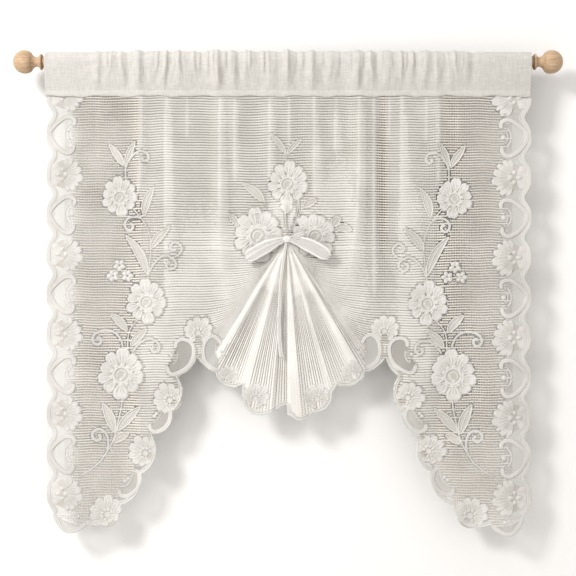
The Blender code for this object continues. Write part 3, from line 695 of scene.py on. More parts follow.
# %% Leaf
def leaf(work, base, tip, width, bend):
    """A pointed leaf with a corded edge: bend bows it to the left of its way."""
    base, tip = np.asarray(base, float), np.asarray(tip, float)
    t = np.linspace(0.0, 1.0, 15)
    spine = beside(base + (tip - base) * t[:, None], bend * np.sin(np.pi * t))
    half = width / 2.0 * np.sin(np.pi * t ** 0.9) ** 0.85
    edges = beside(spine, half), beside(spine, -half)
    mark_line(np.vstack([beside(spine, half + 1.0), beside(spine, -half - 1.0)[::-1]]))
    turn = math.degrees(math.atan2(*(tip - base)[::-1]))
    # The leaf's mesh is painted with a mild shade
    mesh_fill(work, np.vstack([edges[0], edges[1][::-1]]), pitch=2.3, thread=1.5,
              turn=turn + 45.0, lift=0.25, deep=MILD_SHADE_PAINT)
    # The edge cords and the spine are painted with a lighter highlight
    for edge in edges:
        cord(work, even_steps(edge, 2.0), 2.9, 1.8, deep=HIGHLIGHT_PAINT)
    cord(work, even_steps(spine[1:-2], 3.0), 1.6, 1.0, lift=0.35, deep=HIGHLIGHT_PAINT)


# %% Floret
def floret(work, x, z, turn):
    """Five round petals round a tiny hole."""
    for number in range(5):
        angle = turn + 360.0 / 5 * number
        bead(work, *placed(x, z, 7.6, 0.0, angle), 4.6, 2.0, long=1.25, turn=angle, lift=0.4)


# %% [markdown]
# ## The sprays
# Each side of the panel carries a climbing spray: three open flowers, florets, leaves and
# curled tendrils. The weaver mirrors one design, so one table serves both sides, with a
# small shift for the way the cloth hangs. A bouquet of three flowers sits round the knot.

# %% The spray in numbers, for the left side, in millimetres
SPRAY_FLOWERS = ((-357.0, -289.0, 41.0, 8.0), (-300.0, -512.0, 47.0, 6.0),
                 (-354.0, -666.0, 53.0, -2.0))
SPRAY_LEAVES = (
    ((-348, -222), (-380, -175), 14, -1), ((-345, -219), (-324, -169), 13, 2),
    ((-306, -329), (-284, -266), 17, 5), ((-292, -398), (-250, -351), 17, 3),
    ((-298, -453), (-345, -369), 18, -7), ((-369, -789), (-394, -725), 19, -3),
    ((-363, -785), (-313, -733), 18, 2), ((-370, -809), (-338, -790), 16, 2),
    ((-342, -573), (-377, -536), 17, -3), ((-334, -605), (-300, -568), 17, 2),
)
SPRAY_STEMS = (
    ((-345, -252), (-345, -227), (-344, -216)),
    ((-330, -311), (-311, -334), (-300, -352), (-293, -372), (-291, -398), (-294, -428),
     (-298, -465)),
    ((-317, -547), (-331, -562), (-339, -580), (-341, -612)),
    ((-352, -714), (-355, -738), (-360, -761), (-365, -784), (-371, -804), (-378, -818),
     (-394, -844), (-409, -859), (-424, -870), (-438, -879)),
)
SPRAY_SCROLLS = (
    ((-345, -227), (-339, -212), (-330, -200), (-320, -193), (-310, -191), (-301, -194),
     (-296, -202), (-298, -210), (-305, -212), (-309, -207), (-306, -203)),
    ((-309, -334), (-318, -331), (-328, -330), (-339, -333), (-346, -342), (-346, -351),
     (-340, -358), (-332, -357), (-329, -350), (-333, -345), (-337, -347)),
    ((-297, -456), (-291, -440), (-280, -425), (-270, -416), (-259, -413), (-247, -417),
     (-239, -425), (-238, -434), (-245, -441), (-254, -440), (-258, -432), (-254, -426),
     (-249, -428)),
    ((-245, -417), (-234, -412), (-226, -402), (-227, -392), (-235, -385), (-244, -386),
     (-249, -393), (-246, -401), (-240, -401), (-238, -396)),
    ((-351, -606), (-355, -592), (-364, -579), (-377, -572), (-390, -571), (-404, -575),
     (-413, -583), (-414, -594), (-407, -601), (-399, -599), (-397, -591), (-402, -586),
     (-406, -590)),
    ((-330, -618), (-323, -607), (-312, -596), (-300, -590), (-288, -590), (-278, -596),
     (-273, -605), (-275, -614), (-283, -618), (-289, -613), (-287, -607), (-282, -608)),
    ((-384, -829), (-382, -814), (-383, -799), (-389, -787), (-399, -781), (-409, -783),
     (-415, -791), (-413, -800), (-405, -805), (-398, -800), (-399, -794), (-404, -794)),
)
SPRAY_FLORETS = ((-358, -433, 54.0), (-372, -455, 36.0), (-341, -455, 0.0))
RIGHT_SHIFT = (-3.0, -3.5)

# The bouquet round the knot: flowers, leaves and stems
BOUQUET_FLOWERS = ((0.0, -261.0, 47.0, -4.0), (-63.0, -371.0, 57.0, 10.0),
                   (58.0, -372.0, 49.0, 40.0))
BOUQUET_LEAVES = (
    ((-50, -298), (-95, -260), 17, -3), ((-105, -350), (-126, -322), 13, -1),
    ((94, -350), (112, -332), 17, 2), ((101, -352), (135, -360), 17, 3),
    ((33, -309), (62, -294), 15, 2), ((-4, -196), (-38, -153), 11, -2),
    ((-1, -196), (29, -166), 11, 3),
)
BOUQUET_STEMS = (((-4, -219), (-3, -191)), ((-50, -297), (-45, -315)),
                 ((24, -292), (23, -324), (10, -360)))
BUD = (-3.0, -326.0)
BUD_PETALS = ((118.0, 27.0, 9.0), (62.0, 27.0, 9.0), (90.0, 38.0, 15.0))
PINCHED_STRANDS = (((-8, -287), (-6, -325), (-3, -368)), ((22, -292), (17, -331), (4, -366)))


# %% Stitch the sprays
def flipped(points, middle, raised):
    """Points mirrored about the line x = middle / 2, and raised."""
    points = np.asarray(points, float).reshape(-1, 2)
    return np.column_stack([middle - points[:, 0], points[:, 1] + raised])


def on_side(points, side):
    """The left spray's points on the given side of the panel."""
    return flipped(points, *RIGHT_SHIFT) if side > 0 else np.reshape(points, (-1, 2)) * 1.0


sprays = Lacework("lace_sprays")
for side in (-1, 1):
    for stem in SPRAY_STEMS:
        cord(sprays, soft_line(on_side(stem, side), 3.0), 3.3, 1.6)
    for scroll in SPRAY_SCROLLS:
        cord(sprays, soft_line(on_side(scroll, side), 2.2), 4.4, 2.0, grow=1.55,
             section=CORD_DOUBLE)
    for base, tip, width, bend in SPRAY_LEAVES:
        leaf(sprays, *on_side((base, tip), side), width, -side * bend)
    for x, z, turn in SPRAY_FLORETS:
        floret(sprays, *on_side((x, z), side)[0], turn if side < 0 else 180.0 - turn)
    for x, z, radius, turn in SPRAY_FLOWERS:
        side_flower(sprays, *on_side((x, z), side)[0], radius, turn, mirror=-side)
for stem in BOUQUET_STEMS:
    cord(sprays, soft_line(stem, 3.0), 3.0, 1.0)
for base, tip, width, bend in BOUQUET_LEAVES:
    leaf(sprays, base, tip, width, bend)
for x, z, radius, turn in BOUQUET_FLOWERS:
    side_flower(sprays, x, z, radius, turn)
for angle, reach, width in BUD_PETALS:
    petal(sprays, *BUD, angle, 2.0, reach, width, lift=0.8, ribs=1.5)
for strand in PINCHED_STRANDS:
    cord(sprays, soft_line(strand, 3.0), 5.0, 1.2, grow=0.8, lift=0.2)
spray_piece = sprays.piece(MOTIF_FINISH)

# %% [markdown]
# ## The side borders
# Down each side runs a repeat of half flowers and hearts against a corded edge. A flower's
# petals fan away from the edge round a cross of beads; a heart is a thick ring of cord round
# fine mesh, with thin inner arcs and a bead. The repeat is drawn once: u is the distance in
# from the widest edge and v the height above the motif's middle.

# %% The repeat in numbers, in millimetres
# The height at which net and border come out from under the linen
FIRST_ROW = -66.0
BORDER_PETALS = ((76.0, 38.0, 11.0), (58.0, 44.0, 13.0), (37.0, 46.0, 15.0), (14.0, 47.0, 19.0),
                 (-13.0, 50.5, 22.0), (-35.0, 48.0, 12.0), (-52.0, 48.0, 16.0),
                 (-70.0, 43.0, 13.0))
FLOWER_HOLE = 37.0
FLOWER_BEADS = ((45.5, 0.0, 5.6, 1.0), (37.0, 10.6, 4.7, 1.0), (37.0, -10.6, 4.7, 1.0),
                (27.0, 0.0, 4.6, 1.5), (19.5, 17.5, 7.6, 1.1), (19.5, -17.5, 7.6, 1.1))
HEART_MESH = ((60.0, 30.4), (41.9, 30.4), (41.9, -31.5), (58.0, -31.7), (52.3, -19.5),
              (45.3, -9.5), (43.2, 1.1), (45.6, 10.4), (52.4, 20.6))
HEART_RING = ((64.5, 19.0), (65.5, 28.5), (58.9, 35.6), (45.1, 36.2), (31.2, 28.2),
              (18.4, 17.5), (8.5, 2.3), (18.0, -19.0), (32.3, -32.6), (47.2, -40.1),
              (58.4, -37.0), (63.2, -27.5), (62.4, -20.5))
HEART_ARC = ((52.4, 20.6), (45.6, 10.4), (43.4, 1.1), (45.2, -9.4), (51.6, -19.4))
HEART_INNER_ARC = ((57.0, 14.3), (52.0, 7.5), (50.9, 0.9), (52.0, -6.5), (56.4, -13.4))
BORDER_SCALE = {-1: 0.93, 1: 1.0}
BORDER_MOTIFS = 11
# Each corner: start and end of its scallop, its bulge, and where its curl sits
CORNERS = {-1: ((-498.0, -961.0), (-425.6, -982.7), 30.0, (-455.0, -968.0)),
           1: ((428.4, -984.9), (503.0, -968.0), 33.0, (471.0, -981.0))}


# %% Stitch the borders
def on_border(side, height, points):
    """The repeat's points (u, v) in the front view, on one side at one height."""
    u, v = np.asarray(points, float).reshape(-1, 2).T
    edge = BORDERS[side][0] * 1000.0
    return np.column_stack([edge - side * u * BORDER_SCALE[side], height + v])


def border_flower(work, side, height):
    """Half a flower: packed ground at the edge, petals fanning inward, beads."""
    scale = BORDER_SCALE[side]
    (x, z), = on_border(side, height, (FLOWER_HOLE, 0.0))
    (gx, gz), = on_border(side, height, (24.0, 0.0))
    ground(work, gx, gz, 21.0 * scale, 25.0, 0.5)
    # The ground under the petals is painted grey shade
    ground(work, x - side * 6.0, z, 30.0 * scale, 31.0, 0.5, deep=GREY_SHADE_PAINT)
    for number, (angle, reach, width) in enumerate(BORDER_PETALS):
        turned = angle if side < 0 else 180.0 - angle
        petal(work, x, z, turned, 12.0, reach * scale, 0.90 * width,
              lift=0.5 + 0.45 * (number % 2), nick=0.05, ribs=2.0)
    for u, v, size, long in FLOWER_BEADS:
        (bx, bz), = on_border(side, height, (u, v))
        # A wider, low bead under each small bead is painted grey shade, a dark halo
        if size < 6.0:
            bead(work, bx, bz, size * scale + 1.2, 0.5, long=long, lift=0.5)
            work.deep[-1][:] = GREY_SHADE_PAINT
        bead(work, bx, bz, size * scale, 2.2 if size < 6.0 else 1.0, long=long, lift=0.8)


def border_heart(work, side, height):
    """A heart lying on its side: mesh, thick ring, thin arcs and a bead."""
    # On the right border the heart's mesh is painted grey shade; on the left it keeps the border's
    # finish
    mesh_fill(work, on_border(side, height, HEART_MESH), deep=GREY_SHADE_PAINT if side > 0 else 0)
    ring = soft_line(on_border(side, height, HEART_RING), 2.2)
    # A wide, low cord under the ring is painted grey shade, a dark outline
    cord(work, ring, 10.8, 0.5, lift=0.1, deep=GREY_SHADE_PAINT)
    cord(work, ring, 8.0, 1.9, lift=0.2, section=CORD_DOUBLE)
    cord(work, soft_line(on_border(side, height, HEART_ARC), 2.0), 3.2, 1.1)
    cord(work, soft_line(on_border(side, height, HEART_INNER_ARC), 2.0), 2.2, 0.9)
    (x, z), = on_border(side, height, (60.4, 0.0))
    bead(work, x, z, 5.4, 1.7, lift=0.2)


def edge_below_linen(side):
    """The side edge in millimetres, from just under the linen."""
    line = border_line(side) * 1000.0
    return line[line[:, 1] < FIRST_ROW]


def edge_cord(work, side):
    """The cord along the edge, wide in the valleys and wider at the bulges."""
    line = edge_below_linen(side)
    cord(work, even_steps(line + (-side * 4.6, 0.0), 2.5), 9.0, 1.4, section=CORD_DOUBLE)
    cord(work, even_steps(line + (-side * 10.9, 0.0), 2.5), 2.6, 0.8)
    bulge = (0.5 + 0.5 * np.cos(4.0 * np.pi * (line[:, 1] / 1000.0 - BORDERS[side][1])
                                / BORDERS[side][2]))
    x, z = np.stack([line + np.column_stack([-side * (3.0 + share * (5.0 + 10.0 * bulge)),
                                             0.0 * bulge]) for share in (0.0, 0.5, 1.0)]).T
    work.add(x, z, 0.35 + 0.0 * x, grid_faces(*x.shape))


def corner(work, side):
    """The rounded corner under a border: thick cord, fine mesh, a curl and a bead."""
    start, end, bulge, (x, z) = CORNERS[side]
    edge = scallop(start, end, bulge, 2.0)
    inner = scallop(start, end, 0.25 * bulge, 2.0)
    # The corner's mesh is painted grey shade
    mesh_fill(work, np.vstack([beside(edge, 6.0), inner[::-1]]), deep=GREY_SHADE_PAINT)
    cord(work, beside(edge, 5.0), 8.4, 1.5, section=CORD_DOUBLE)
    cord(work, inner, 3.2, 1.1)
    cord(work, circle(x, z, 6.5, np.radians(np.linspace(200.0, -90.0, 12))), 2.8, 1.1)
    bead(work, x - 11.0 * side, z + 2.0, 4.6, 1.9, lift=0.3)


def border_piece(side):
    """A whole border from the heading to the tail."""
    work = Lacework("lace_border_left" if side < 0 else "lace_border_right")
    _, first, repeat, _ = (1000.0 * value for value in BORDERS[side])
    edge_cord(work, side)
    for number in range(BORDER_MOTIFS):
        motif = border_heart if number % 2 else border_flower
        motif(work, side, first - number * repeat / 2.0)
    corner(work, side)
    band = edge_below_linen(side)
    mesh_fill(work, np.vstack([band + (-side * 6.0, 0.0), (band + (-side * 42.0, 0.0))[::-1]]))
    # The left border takes a darker copy of the packed lace: painted shade against the stronger
    # light
    return work.piece(SHADE_PAINTED_LEFT_FINISH if side < 0 else MOTIF_FINISH)


border_pieces = [border_piece(-1), border_piece(1)]

# %% [markdown]
# ## The hem
# Along the hem sit smaller flowers, with long petals toward the net and two short ones that
# make the scallop. Between them are crescents: a thick outer cord, a thin inner one, fine
# mesh and beads. A cord follows the whole edge, as the weaver's last row does, so that no
# thread of the net ends in the air.

# %% The hem in numbers, in millimetres
# Flowers: x, z, size, and the direction that looks away from the cloth
HEM_FLOWERS = (
    (-384, -963, 40, -62), (-303, -832, 38, -28), (-251, -719, 38, -32), (-191, -577, 36, -90),
    (-69, -715, 33, -105), (62, -717, 33, -75), (137, -662, 27, -60), (-128, -668, 24, -120),
    (205, -574, 36, -90), (254, -714, 37, 212), (299, -828, 38, 208), (387, -966, 40, 242),
)
# Petals: angle from the inward direction, length share and width share of the size
HEM_PETALS = ((4, 1.02, 0.52), (-32, 1.10, 0.54), (-64, 0.98, 0.46), (-95, 0.84, 0.42),
              (-133, 0.64, 0.52), (133, 0.64, 0.52), (96, 0.80, 0.44), (68, 0.92, 0.44),
              (38, 0.98, 0.48))
HEM_KNOBS = 7
# Crescents: outer cord, inner cord, beads
CRESCENT_TAIL = (
    ((-358, -909), (-357, -921), (-345, -924), (-331, -917), (-320, -905), (-314, -888),
     (-317, -874), (-327, -869)),
    ((-349, -905), (-339, -897), (-333, -886), (-329, -875)), ((-347, -892), (-340, -887)))
CRESCENT_MIDDLE = (
    ((-293, -769), (-292, -781), (-280, -787), (-266, -782), (-254, -770), (-249, -754),
     (-251, -741), (-259, -736)),
    ((-288, -767), (-278, -760), (-271, -750), (-266, -741)), ((-284, -753), (-279, -747)))
CRESCENT_ARCH = (
    ((-257, -647), (-252, -661), (-241, -664), (-223, -656), (-209, -644), (-201, -625),
     (-201, -606), (-210, -594), (-226, -590), (-237, -597), (-239, -609)),
    ((-235, -617), (-234, -627), (-238, -637), (-245, -643)), ((-247, -624),))
CRESCENT_INNER = (
    ((-142, -602), (-149, -589), (-161, -583), (-173, -591), (-180, -606), (-180, -624),
     (-174, -640), (-163, -650), (-149, -655)),
    ((-152, -600), (-154, -615), (-150, -627), (-144, -634)), ((-141, -616), (-136, -622)))
# The line about which each crescent is mirrored to the right, and its shift in height
CRESCENTS = ((CRESCENT_TAIL, -3.2, 2.5), (CRESCENT_MIDDLE, 0.2, 0.0),
             (CRESCENT_ARCH, 7.4, 3.0), (CRESCENT_INNER, 7.4, 3.0))


# %% Stitch the hem
def hem_flower(work, x, z, size, outward):
    """A small flower whose two short petals make the scallop."""
    # The ground under the petals is painted grey shade
    ground(work, x, z, 0.66 * size, 0.66 * size, 0.4, deep=GREY_SHADE_PAINT)
    for number, (angle, reach, width) in enumerate(HEM_PETALS):
        petal(work, x, z, outward + 180.0 + angle, 0.27 * size, reach * size,
              0.94 * width * size, lift=0.4 + 0.4 * (number % 2), nick=0.05, ribs=2.0)
    for knob in range(HEM_KNOBS):
        turn = outward + 180.0 + 42.0 * (knob - HEM_KNOBS // 2)
        bead(work, *placed(x, z, 0.27 * size, 0.0, turn), 0.095 * size, 1.8, lift=1.0, cells=3)
    bead(work, x, z, 0.15 * size, 0.3, long=1.2, turn=outward + 90.0, lift=0.5)
    ring = circle(x, z, 0.15 * size, np.linspace(0.0, WHOLE_TURN, 17))
    cord(work, ring, 0.06 * size, 0.9, lift=0.5)


def crescent(work, outer, inner, beads, deep):
    """Thick cord outside, thin cord inside, fine mesh between them."""
    outer, inner = soft_line(outer, 2.2), soft_line(inner, 2.0)
    mesh_fill(work, np.vstack([outer, inner[::-1]]), pitch=2.7, thread=1.05, deep=deep)
    cord(work, outer, 8.4, 1.9, section=CORD_DOUBLE)
    cord(work, inner, 3.2, 1.1)
    for x, z in beads:
        bead(work, x, z, 4.6, 1.9, lift=0.3)


hem = Lacework("lace_hem")
for design, middle, raised in CRESCENTS:
    # The crescents' meshes are painted grey shade, all but the inner pair
    deep = 0 if design is CRESCENT_INNER else GREY_SHADE_PAINT
    crescent(hem, *design, deep)
    crescent(hem, *(flipped(part, 2.0 * middle, raised) for part in design), deep)
for x, z, size, outward in HEM_FLOWERS:
    hem_flower(hem, x, z, size, outward)
hem_edge = even_steps(hem_line() * 1000.0, 2.0)
cord(hem, beside(hem_edge, 2.4), 4.8, 1.3)
cord(hem, beside(hem_edge, 7.0), 3.4, 1.0)
hem_piece = hem.piece(MOTIF_FINISH)

# %% [markdown]
# ## The net
# The ground of the lace is a net of flat bars with thin threads between them. An array of
# curves could make it, but one grid is far lighter: every bar is three strips, a face with
# a steep side above and below, every thread is one strip, and the openings are left out.
# The steep sides keep slanting light off what lies behind. Where the net lies open, the steep
# sides are painted brown shade and the threads a milder painted shade. Rows wander a little
# as the cloth is drawn up, and below the knot they bend until they run beside the outer
# pleats. Along every fold the bars swell and touch, because cloth that turns away from the eye
# shows its threads closer together; there the bars are painted with shade, and with a lighter
# painted highlight on the crests. Under a packed motif the net stops, and only every third bar
# reaches it, which leaves the dark rim that sets a flower off. In drawn-up cloth the net runs
# on up to the motif, and the rim is painted shade.

# %% Net sizes
ROW_PITCH = 5.47
BAR_SHARE = 0.56
COLUMN_PITCH = 5.30
THREAD_WIDTH = 1.45
BAR_RISE = 1.6
BAR_FACE = 0.84
NET_WIDTH = 1040.0
NET_DROP = 960.0
# Where the upper and the lower piece of the net meet
NET_SPLIT = -395.0
# How far the net runs on under the fan, in metres
FAN_OVERLAP = 0.002
# How steeply the rows bend away from the knot
BEND_LEFT, BEND_RIGHT = 1.524, 1.556
# Rows nearer than CROWDED leave no opening between them, and an opening narrower than
# MERGED closes; rows nearer than MERGED are left out
CROWDED = 1.9
MERGED = 0.55
# Closeness runs up to 1 in shut cloth. Where it is over DRAWN_UP, the net runs on up to the
# motifs with wider threads. Over the next value the bars are painted with shade, and over the
# last one with a lighter painted highlight.
DRAWN_UP = 0.36
SHADE_PAINTED_OVER = 0.34
HIGHLIGHT_PAINTED_OVER = 0.68
# Where drawn-up cloth lies closer: x, z, half width and half height in millimetres, and
# how much closer in thousandths
SHUT_PLACES = np.array((
    (-175, -460, 75, 170, 360), (105, -330, 42, 150, 400), (-120, -465, 60, 90, 420),
    (115, -470, 60, 90, 400), (258, -400, 36, 190, 360), (-225, -240, 45, 160, 60),
    (197, -260, 13, 170, -580), (-270, -640, 70, 80, 350), (240, -640, 80, 100, 400),
    (-410, -700, 80, 220, 200), (-200, -560, 70, 70, 300), (-360, -560, 80, 120, 200),
)) / 1000.0
wander = np.random.default_rng(11)
beside_motif = grown(packed, 3)
under_motif = ~grown(~packed, 2)


# %% Where the rows run
def row_wave(x, z):
    """A slow rise and fall of the rows between the gathers, in metres."""
    pull = 0.0005 * np.sin(2.0 * np.pi * x / 0.074 + 9.0 * z)
    slow = 0.0009 * np.sin(2.0 * np.pi * x / 0.31 + 4.0 * z + 1.0)
    return pull + slow


def bent_z(x, z):
    """The height of a row's point once the pinch has bent the rows."""
    drop = np.maximum(KNOT_Z - z, 1e-9)
    away = np.abs(x - KNOT_X)
    steep = np.where(x < KNOT_X, BEND_LEFT, BEND_RIGHT)
    limit = np.maximum(steep * away * (1.0 + (away / 0.17) ** 4), 1e-6)
    bent = drop * limit / np.cbrt(drop ** 3 + limit ** 3)
    return np.where(z < KNOT_Z, KNOT_Z - bent, z)


def closeness(x, z):
    """How close the folds bring the threads: 1 in shut cloth, below 0 where it is spread."""
    spread = np.where(x < 0.0, 0.86, 0.68)
    total = (0.47 - spread * smooth((np.abs(x) - 0.29) / 0.08)) * np.ones(np.shape(z))
    for at_x, at_z, wide, high, strength in SHUT_PLACES:
        total += strength * ridge(x - at_x, wide) * ridge(z - at_z, high)
    total = np.minimum(total, 0.80)
    for at, drift, _, _, rise, reach in GATHERS:
        fall, away = along_gather(x, z, at, drift, reach)
        strength = min(1.2, 0.35 + rise / 0.014) * (1.0 - smooth((fall - 0.75) / 0.25))
        strength = strength * (0.60 + 0.40 * smooth((HEADING_FOOT - z) / 0.060))
        total += strength * (0.80 * ridge(away - 0.0022, 0.0028)
                             + 0.24 * ridge(away - 0.009, 0.009))
    up = z - KNOT_Z
    total += 1.4 * ridge(x - KNOT_X, 0.034 + 0.12 * np.maximum(up, 0.0)) * ridge(up, 0.075)
    return np.clip(total, -0.4, 1.0)


def in_fan(x, z):
    """Whether places in metres lie between the fan's outer lines, clear of them."""
    drop = KNOT_Z - z
    left = KNOT_X + PLEAT_SLOPES[1] * drop + FAN_OVERLAP
    right = KNOT_X + PLEAT_SLOPES[-2] * drop - FAN_OVERLAP
    return (drop > 0.0) & (x > left) & (x < right)


def kept_on_panel(x, z, bar):
    """Which faces stay: on the panel, and clear of the motifs but for some bars."""
    places = np.column_stack([np.ravel(x), np.ravel(z)])
    cell = map_cell(places[:, 0], places[:, 1])
    runs_on = np.ravel(bar) | (closeness(*places.T / 1000.0) > DRAWN_UP)
    clear = ~beside_motif[cell] | (runs_on & ~under_motif[cell])
    clear[clear] = inside(places[clear] / 1000.0, edge_line)
    return clear.reshape(np.shape(x))


# %% Lay out the net
def net_places():
    """The grid of the net: four heights for each row, four places for each column."""
    rows = int((1000.0 * -PANEL_TOP + NET_DROP) / ROW_PITCH) + 2
    columns = int(NET_WIDTH / COLUMN_PITCH)
    gap = COLUMN_PITCH - THREAD_WIDTH
    steps = np.array((0.0, THREAD_WIDTH, THREAD_WIDTH + gap / 3.0, THREAD_WIDTH + 2.0 * gap / 3.0))
    x = ((np.arange(columns) - columns / 2.0)[:, None] * COLUMN_PITCH + steps).ravel() / 1000.0
    middle = (np.arange(rows) * -ROW_PITCH + FIRST_ROW) / 1000.0
    x, z = np.meshgrid(x, np.repeat(middle, 4))
    shake = np.repeat(wander.normal(size=rows), 4)[:, None]
    z = z + row_wave(x, z) + 0.00016 * np.sin(9.0 * z + 130.0 * x) + 0.00012 * shake
    shut = closeness(x, bent_z(x, z))
    half = ROW_PITCH / 2000.0 * (BAR_SHARE + (1.0 - BAR_SHARE) * shut)
    face = BAR_FACE + (0.98 - BAR_FACE) * smooth(shut)
    outer, inner = (np.tile(signs, rows)[:, None]
                    for signs in ((1.0, 0.0, 0.0, -1.0), (0.0, 1.0, -1.0, 0.0)))
    z = bent_z(x, z + half * (outer + inner * face))
    return 1000.0 * x, 1000.0 * z, shut


# %% Weave the net
def kept_in_net(x, z, row, column, middles, drawn_up, rim):
    """Which faces of the net's grid stay: not the openings, the fan, or rows that merge."""
    pitch = np.abs(z[4:] - z[:-4])
    pitch = np.vstack([pitch, pitch[-3:]])[:, :-1]
    hole = (z[:-1, :-1] - z[1:, :-1]) > MERGED
    thread = (column % 4 == 0) | ((column % 4 == 1) & drawn_up)
    open_cell = (row % 4 == 3) & ~thread & (pitch > CROWDED) & hole & ~rim
    bar = (row % 4 != 3) & ((row // 4) % 3 == 0)
    kept = kept_on_panel(*middles, bar) & ~open_cell & (pitch > MERGED)
    return kept & ~in_fan(middles[0] / 1000.0, middles[1] / 1000.0)


def net_tones(row, shut, rim):
    """The painted shade or highlight of each face, from how shut the cloth is there."""
    uneven = shut + wander.normal(0.0, 0.03, size=shut.shape)
    # In drawn-up cloth bars are painted with shade, and the tightest with a painted highlight
    tone = np.where(uneven < HIGHLIGHT_PAINTED_OVER, MILD_SHADE_PAINT, HIGHLIGHT_PAINT)
    # Where the net lies open, threads get a mild painted shade and steep sides a brown one
    sides = np.where(row % 4 == 3, MILD_SHADE_PAINT, BROWN_SHADE_PAINT)
    tone = np.where(shut < SHADE_PAINTED_OVER, np.where(row % 4 == 1, 0, sides), tone)
    # Faces of the rim beside a motif are painted grey shade
    return np.where(rim, GREY_SHADE_PAINT, tone)


def weave_net():
    """All the net outside the fan, in an upper and a lower half."""
    x, z, shut = net_places()
    rows, cells = x.shape[0], x.shape[1] // 4
    rise = np.tile((0.0, BAR_RISE, BAR_RISE, 0.0), rows // 4)[:, None] + 0.0 * x
    row, column = np.mgrid[0:rows - 1, 0:4 * cells - 1]
    faces = grid_faces(*x.shape).reshape(*row.shape, 4)
    middles = face_middles(x, z, faces)
    shut = shut[:-1, :-1]
    # The rim beside a motif in drawn-up cloth is painted grey shade, a dark outline
    rim = beside_motif[map_cell(*middles)].reshape(shut.shape) & (shut > DRAWN_UP)
    kept = kept_in_net(x, z, row, column, middles, shut > DRAWN_UP, rim)
    # Where all three faces beside a thread stay, one wide face takes their place
    wide = kept[:, :-3].reshape(rows - 1, cells - 1, 4)[:, :, 1:].all(axis=2)
    corner = np.arange(x.size).reshape(x.shape)
    left, right = corner[:, 1:-4:4], corner[:, 4::4]
    merged = np.stack([left[:-1], right[:-1], right[1:], left[1:]], axis=-1)[wide]
    single = kept.copy()
    single[:, :-3].reshape(rows - 1, cells - 1, 4)[:, :, 1:][wide] = False
    every = np.vstack([merged, faces[single]])
    tone = net_tones(row, shut, rim)
    deep = np.concatenate([tone[:, 1:-3:4][wide], tone[single]])
    low = z.ravel()[every[:, 0]] < NET_SPLIT
    pieces = []
    for name, half in (("lace_net_upper", ~low), ("lace_net_lower", low)):
        work = Lacework(name)
        work.add(x, z, rise, every[half], packs=False, deep=deep[half])
        pieces.append(work.piece(NET_FINISH))
    return pieces


net_pieces = weave_net()

# %% [markdown]
# ## The fan below the knot
# Here the cloth is gathered, so its bars stand on end: they leave the knot like the ribs of
# a fan, and thin threads cross them as arcs. Near the knot, and in the pleats that are drawn
# tight, the ribs touch and the openings close.

# %% The fan's weave
RIB_STEP = 0.0177
ARC_PITCH = 5.2
FAN_SLOPES = (-0.70, 0.69)
FAN_REACH = 385.0
# Slopes across the fan from left to right, and how open the weave is there
OPENNESS = np.array((
    (-0.74, 0.00), (-0.60, 0.00), (-0.55, 0.32), (-0.50, 0.46), (-0.36, 0.36), (-0.315, 0.02),
    (-0.29, 0.02), (-0.26, 0.36), (-0.12, 0.40), (-0.09, 0.12), (-0.07, 0.36), (-0.01, 0.42),
    (0.01, 0.02), (0.06, 0.04), (0.09, 0.34), (0.25, 0.34), (0.28, 0.06), (0.31, 0.34),
    (0.46, 0.34), (0.50, 0.10), (0.55, 0.00), (0.57, 0.44), (0.63, 0.34), (0.66, 0.00),
    (0.74, 0.00),
))


def weave_fan():
    """The fan as one mesh of ribs and arcs, in a sheet that follows the pleats."""
    low, high = (math.atan(slope) for slope in FAN_SLOPES)
    ribs = round((high - low) / RIB_STEP)
    arcs = int(FAN_REACH / ARC_PITCH)
    turn = low + (np.arange(ribs + 1) * RIB_STEP)
    openness = np.interp(np.tan(turn), OPENNESS[:, 0], OPENNESS[:, 1])
    openness = openness * (1.0 + 0.28 * (-1.0) ** np.arange(ribs + 1))
    radius = (np.arange(arcs)[:, None] * ARC_PITCH + np.array((5.0, 6.6))).ravel()
    openness = openness * smooth((radius[:, None] - 35.0) / 95.0)
    half = RIB_STEP * (1.0 - openness) / 2.0
    a = np.stack([turn - half, turn + 0.0 * half, turn + half], axis=2).reshape(len(radius), -1)
    r = radius[:, None] + 0.0 * a
    wobble = 1.0 + 0.012 * np.sin(34.0 * a + r / 40.0)
    x = KNOT_X * 1000.0 + r * wobble * np.sin(a)
    z = KNOT_Z * 1000.0 - r * wobble * np.cos(a)
    rise = 0.45 + np.tile((0.0, 1.2, 0.0), ribs + 1)[None, :] * smooth(r / 230.0)
    faces = grid_faces(*a.shape)
    row, column = rows_and_columns(a)
    wide = openness[row, column // 3] * RIB_STEP * r.ravel()[faces[:, 0]] > 0.5
    between = (column % 3 == 2) & wide
    open_cell = (row % 2 == 1) & between
    kept = ~open_cell & kept_on_panel(*face_middles(x, z, faces), np.ones(len(faces), bool))
    work = Lacework("lace_fan")
    # Thread arcs between wide ribs are painted brown shade
    work.add(x, z, rise, faces[kept], packs=False, deep=BROWN_SHADE_PAINT * between[kept])
    # The fan takes the lighter gathered copy of the cotton: a painted highlight
    return work.piece(HIGHLIGHT_PAINTED_FAN_FINISH)


fan_piece = weave_fan()

# %% [markdown]
# ## The linen heading
# The heading is one strip of slubby linen, gathered on the rod. It is built as a section
# that runs up the back, over the rod and down the front, repeated along the rod. Deep
# gathers run on into the lace; small puckers crowd on the rod and fade before the seam. The
# slubs are in the finish, the seam's stitches are real.

# %% The linen in numbers
ROD_RADIUS = 0.0175
ROD_ROOM = 0.0003
LINEN_THICKNESS = 0.0012
HALF_HEADING = 0.5155
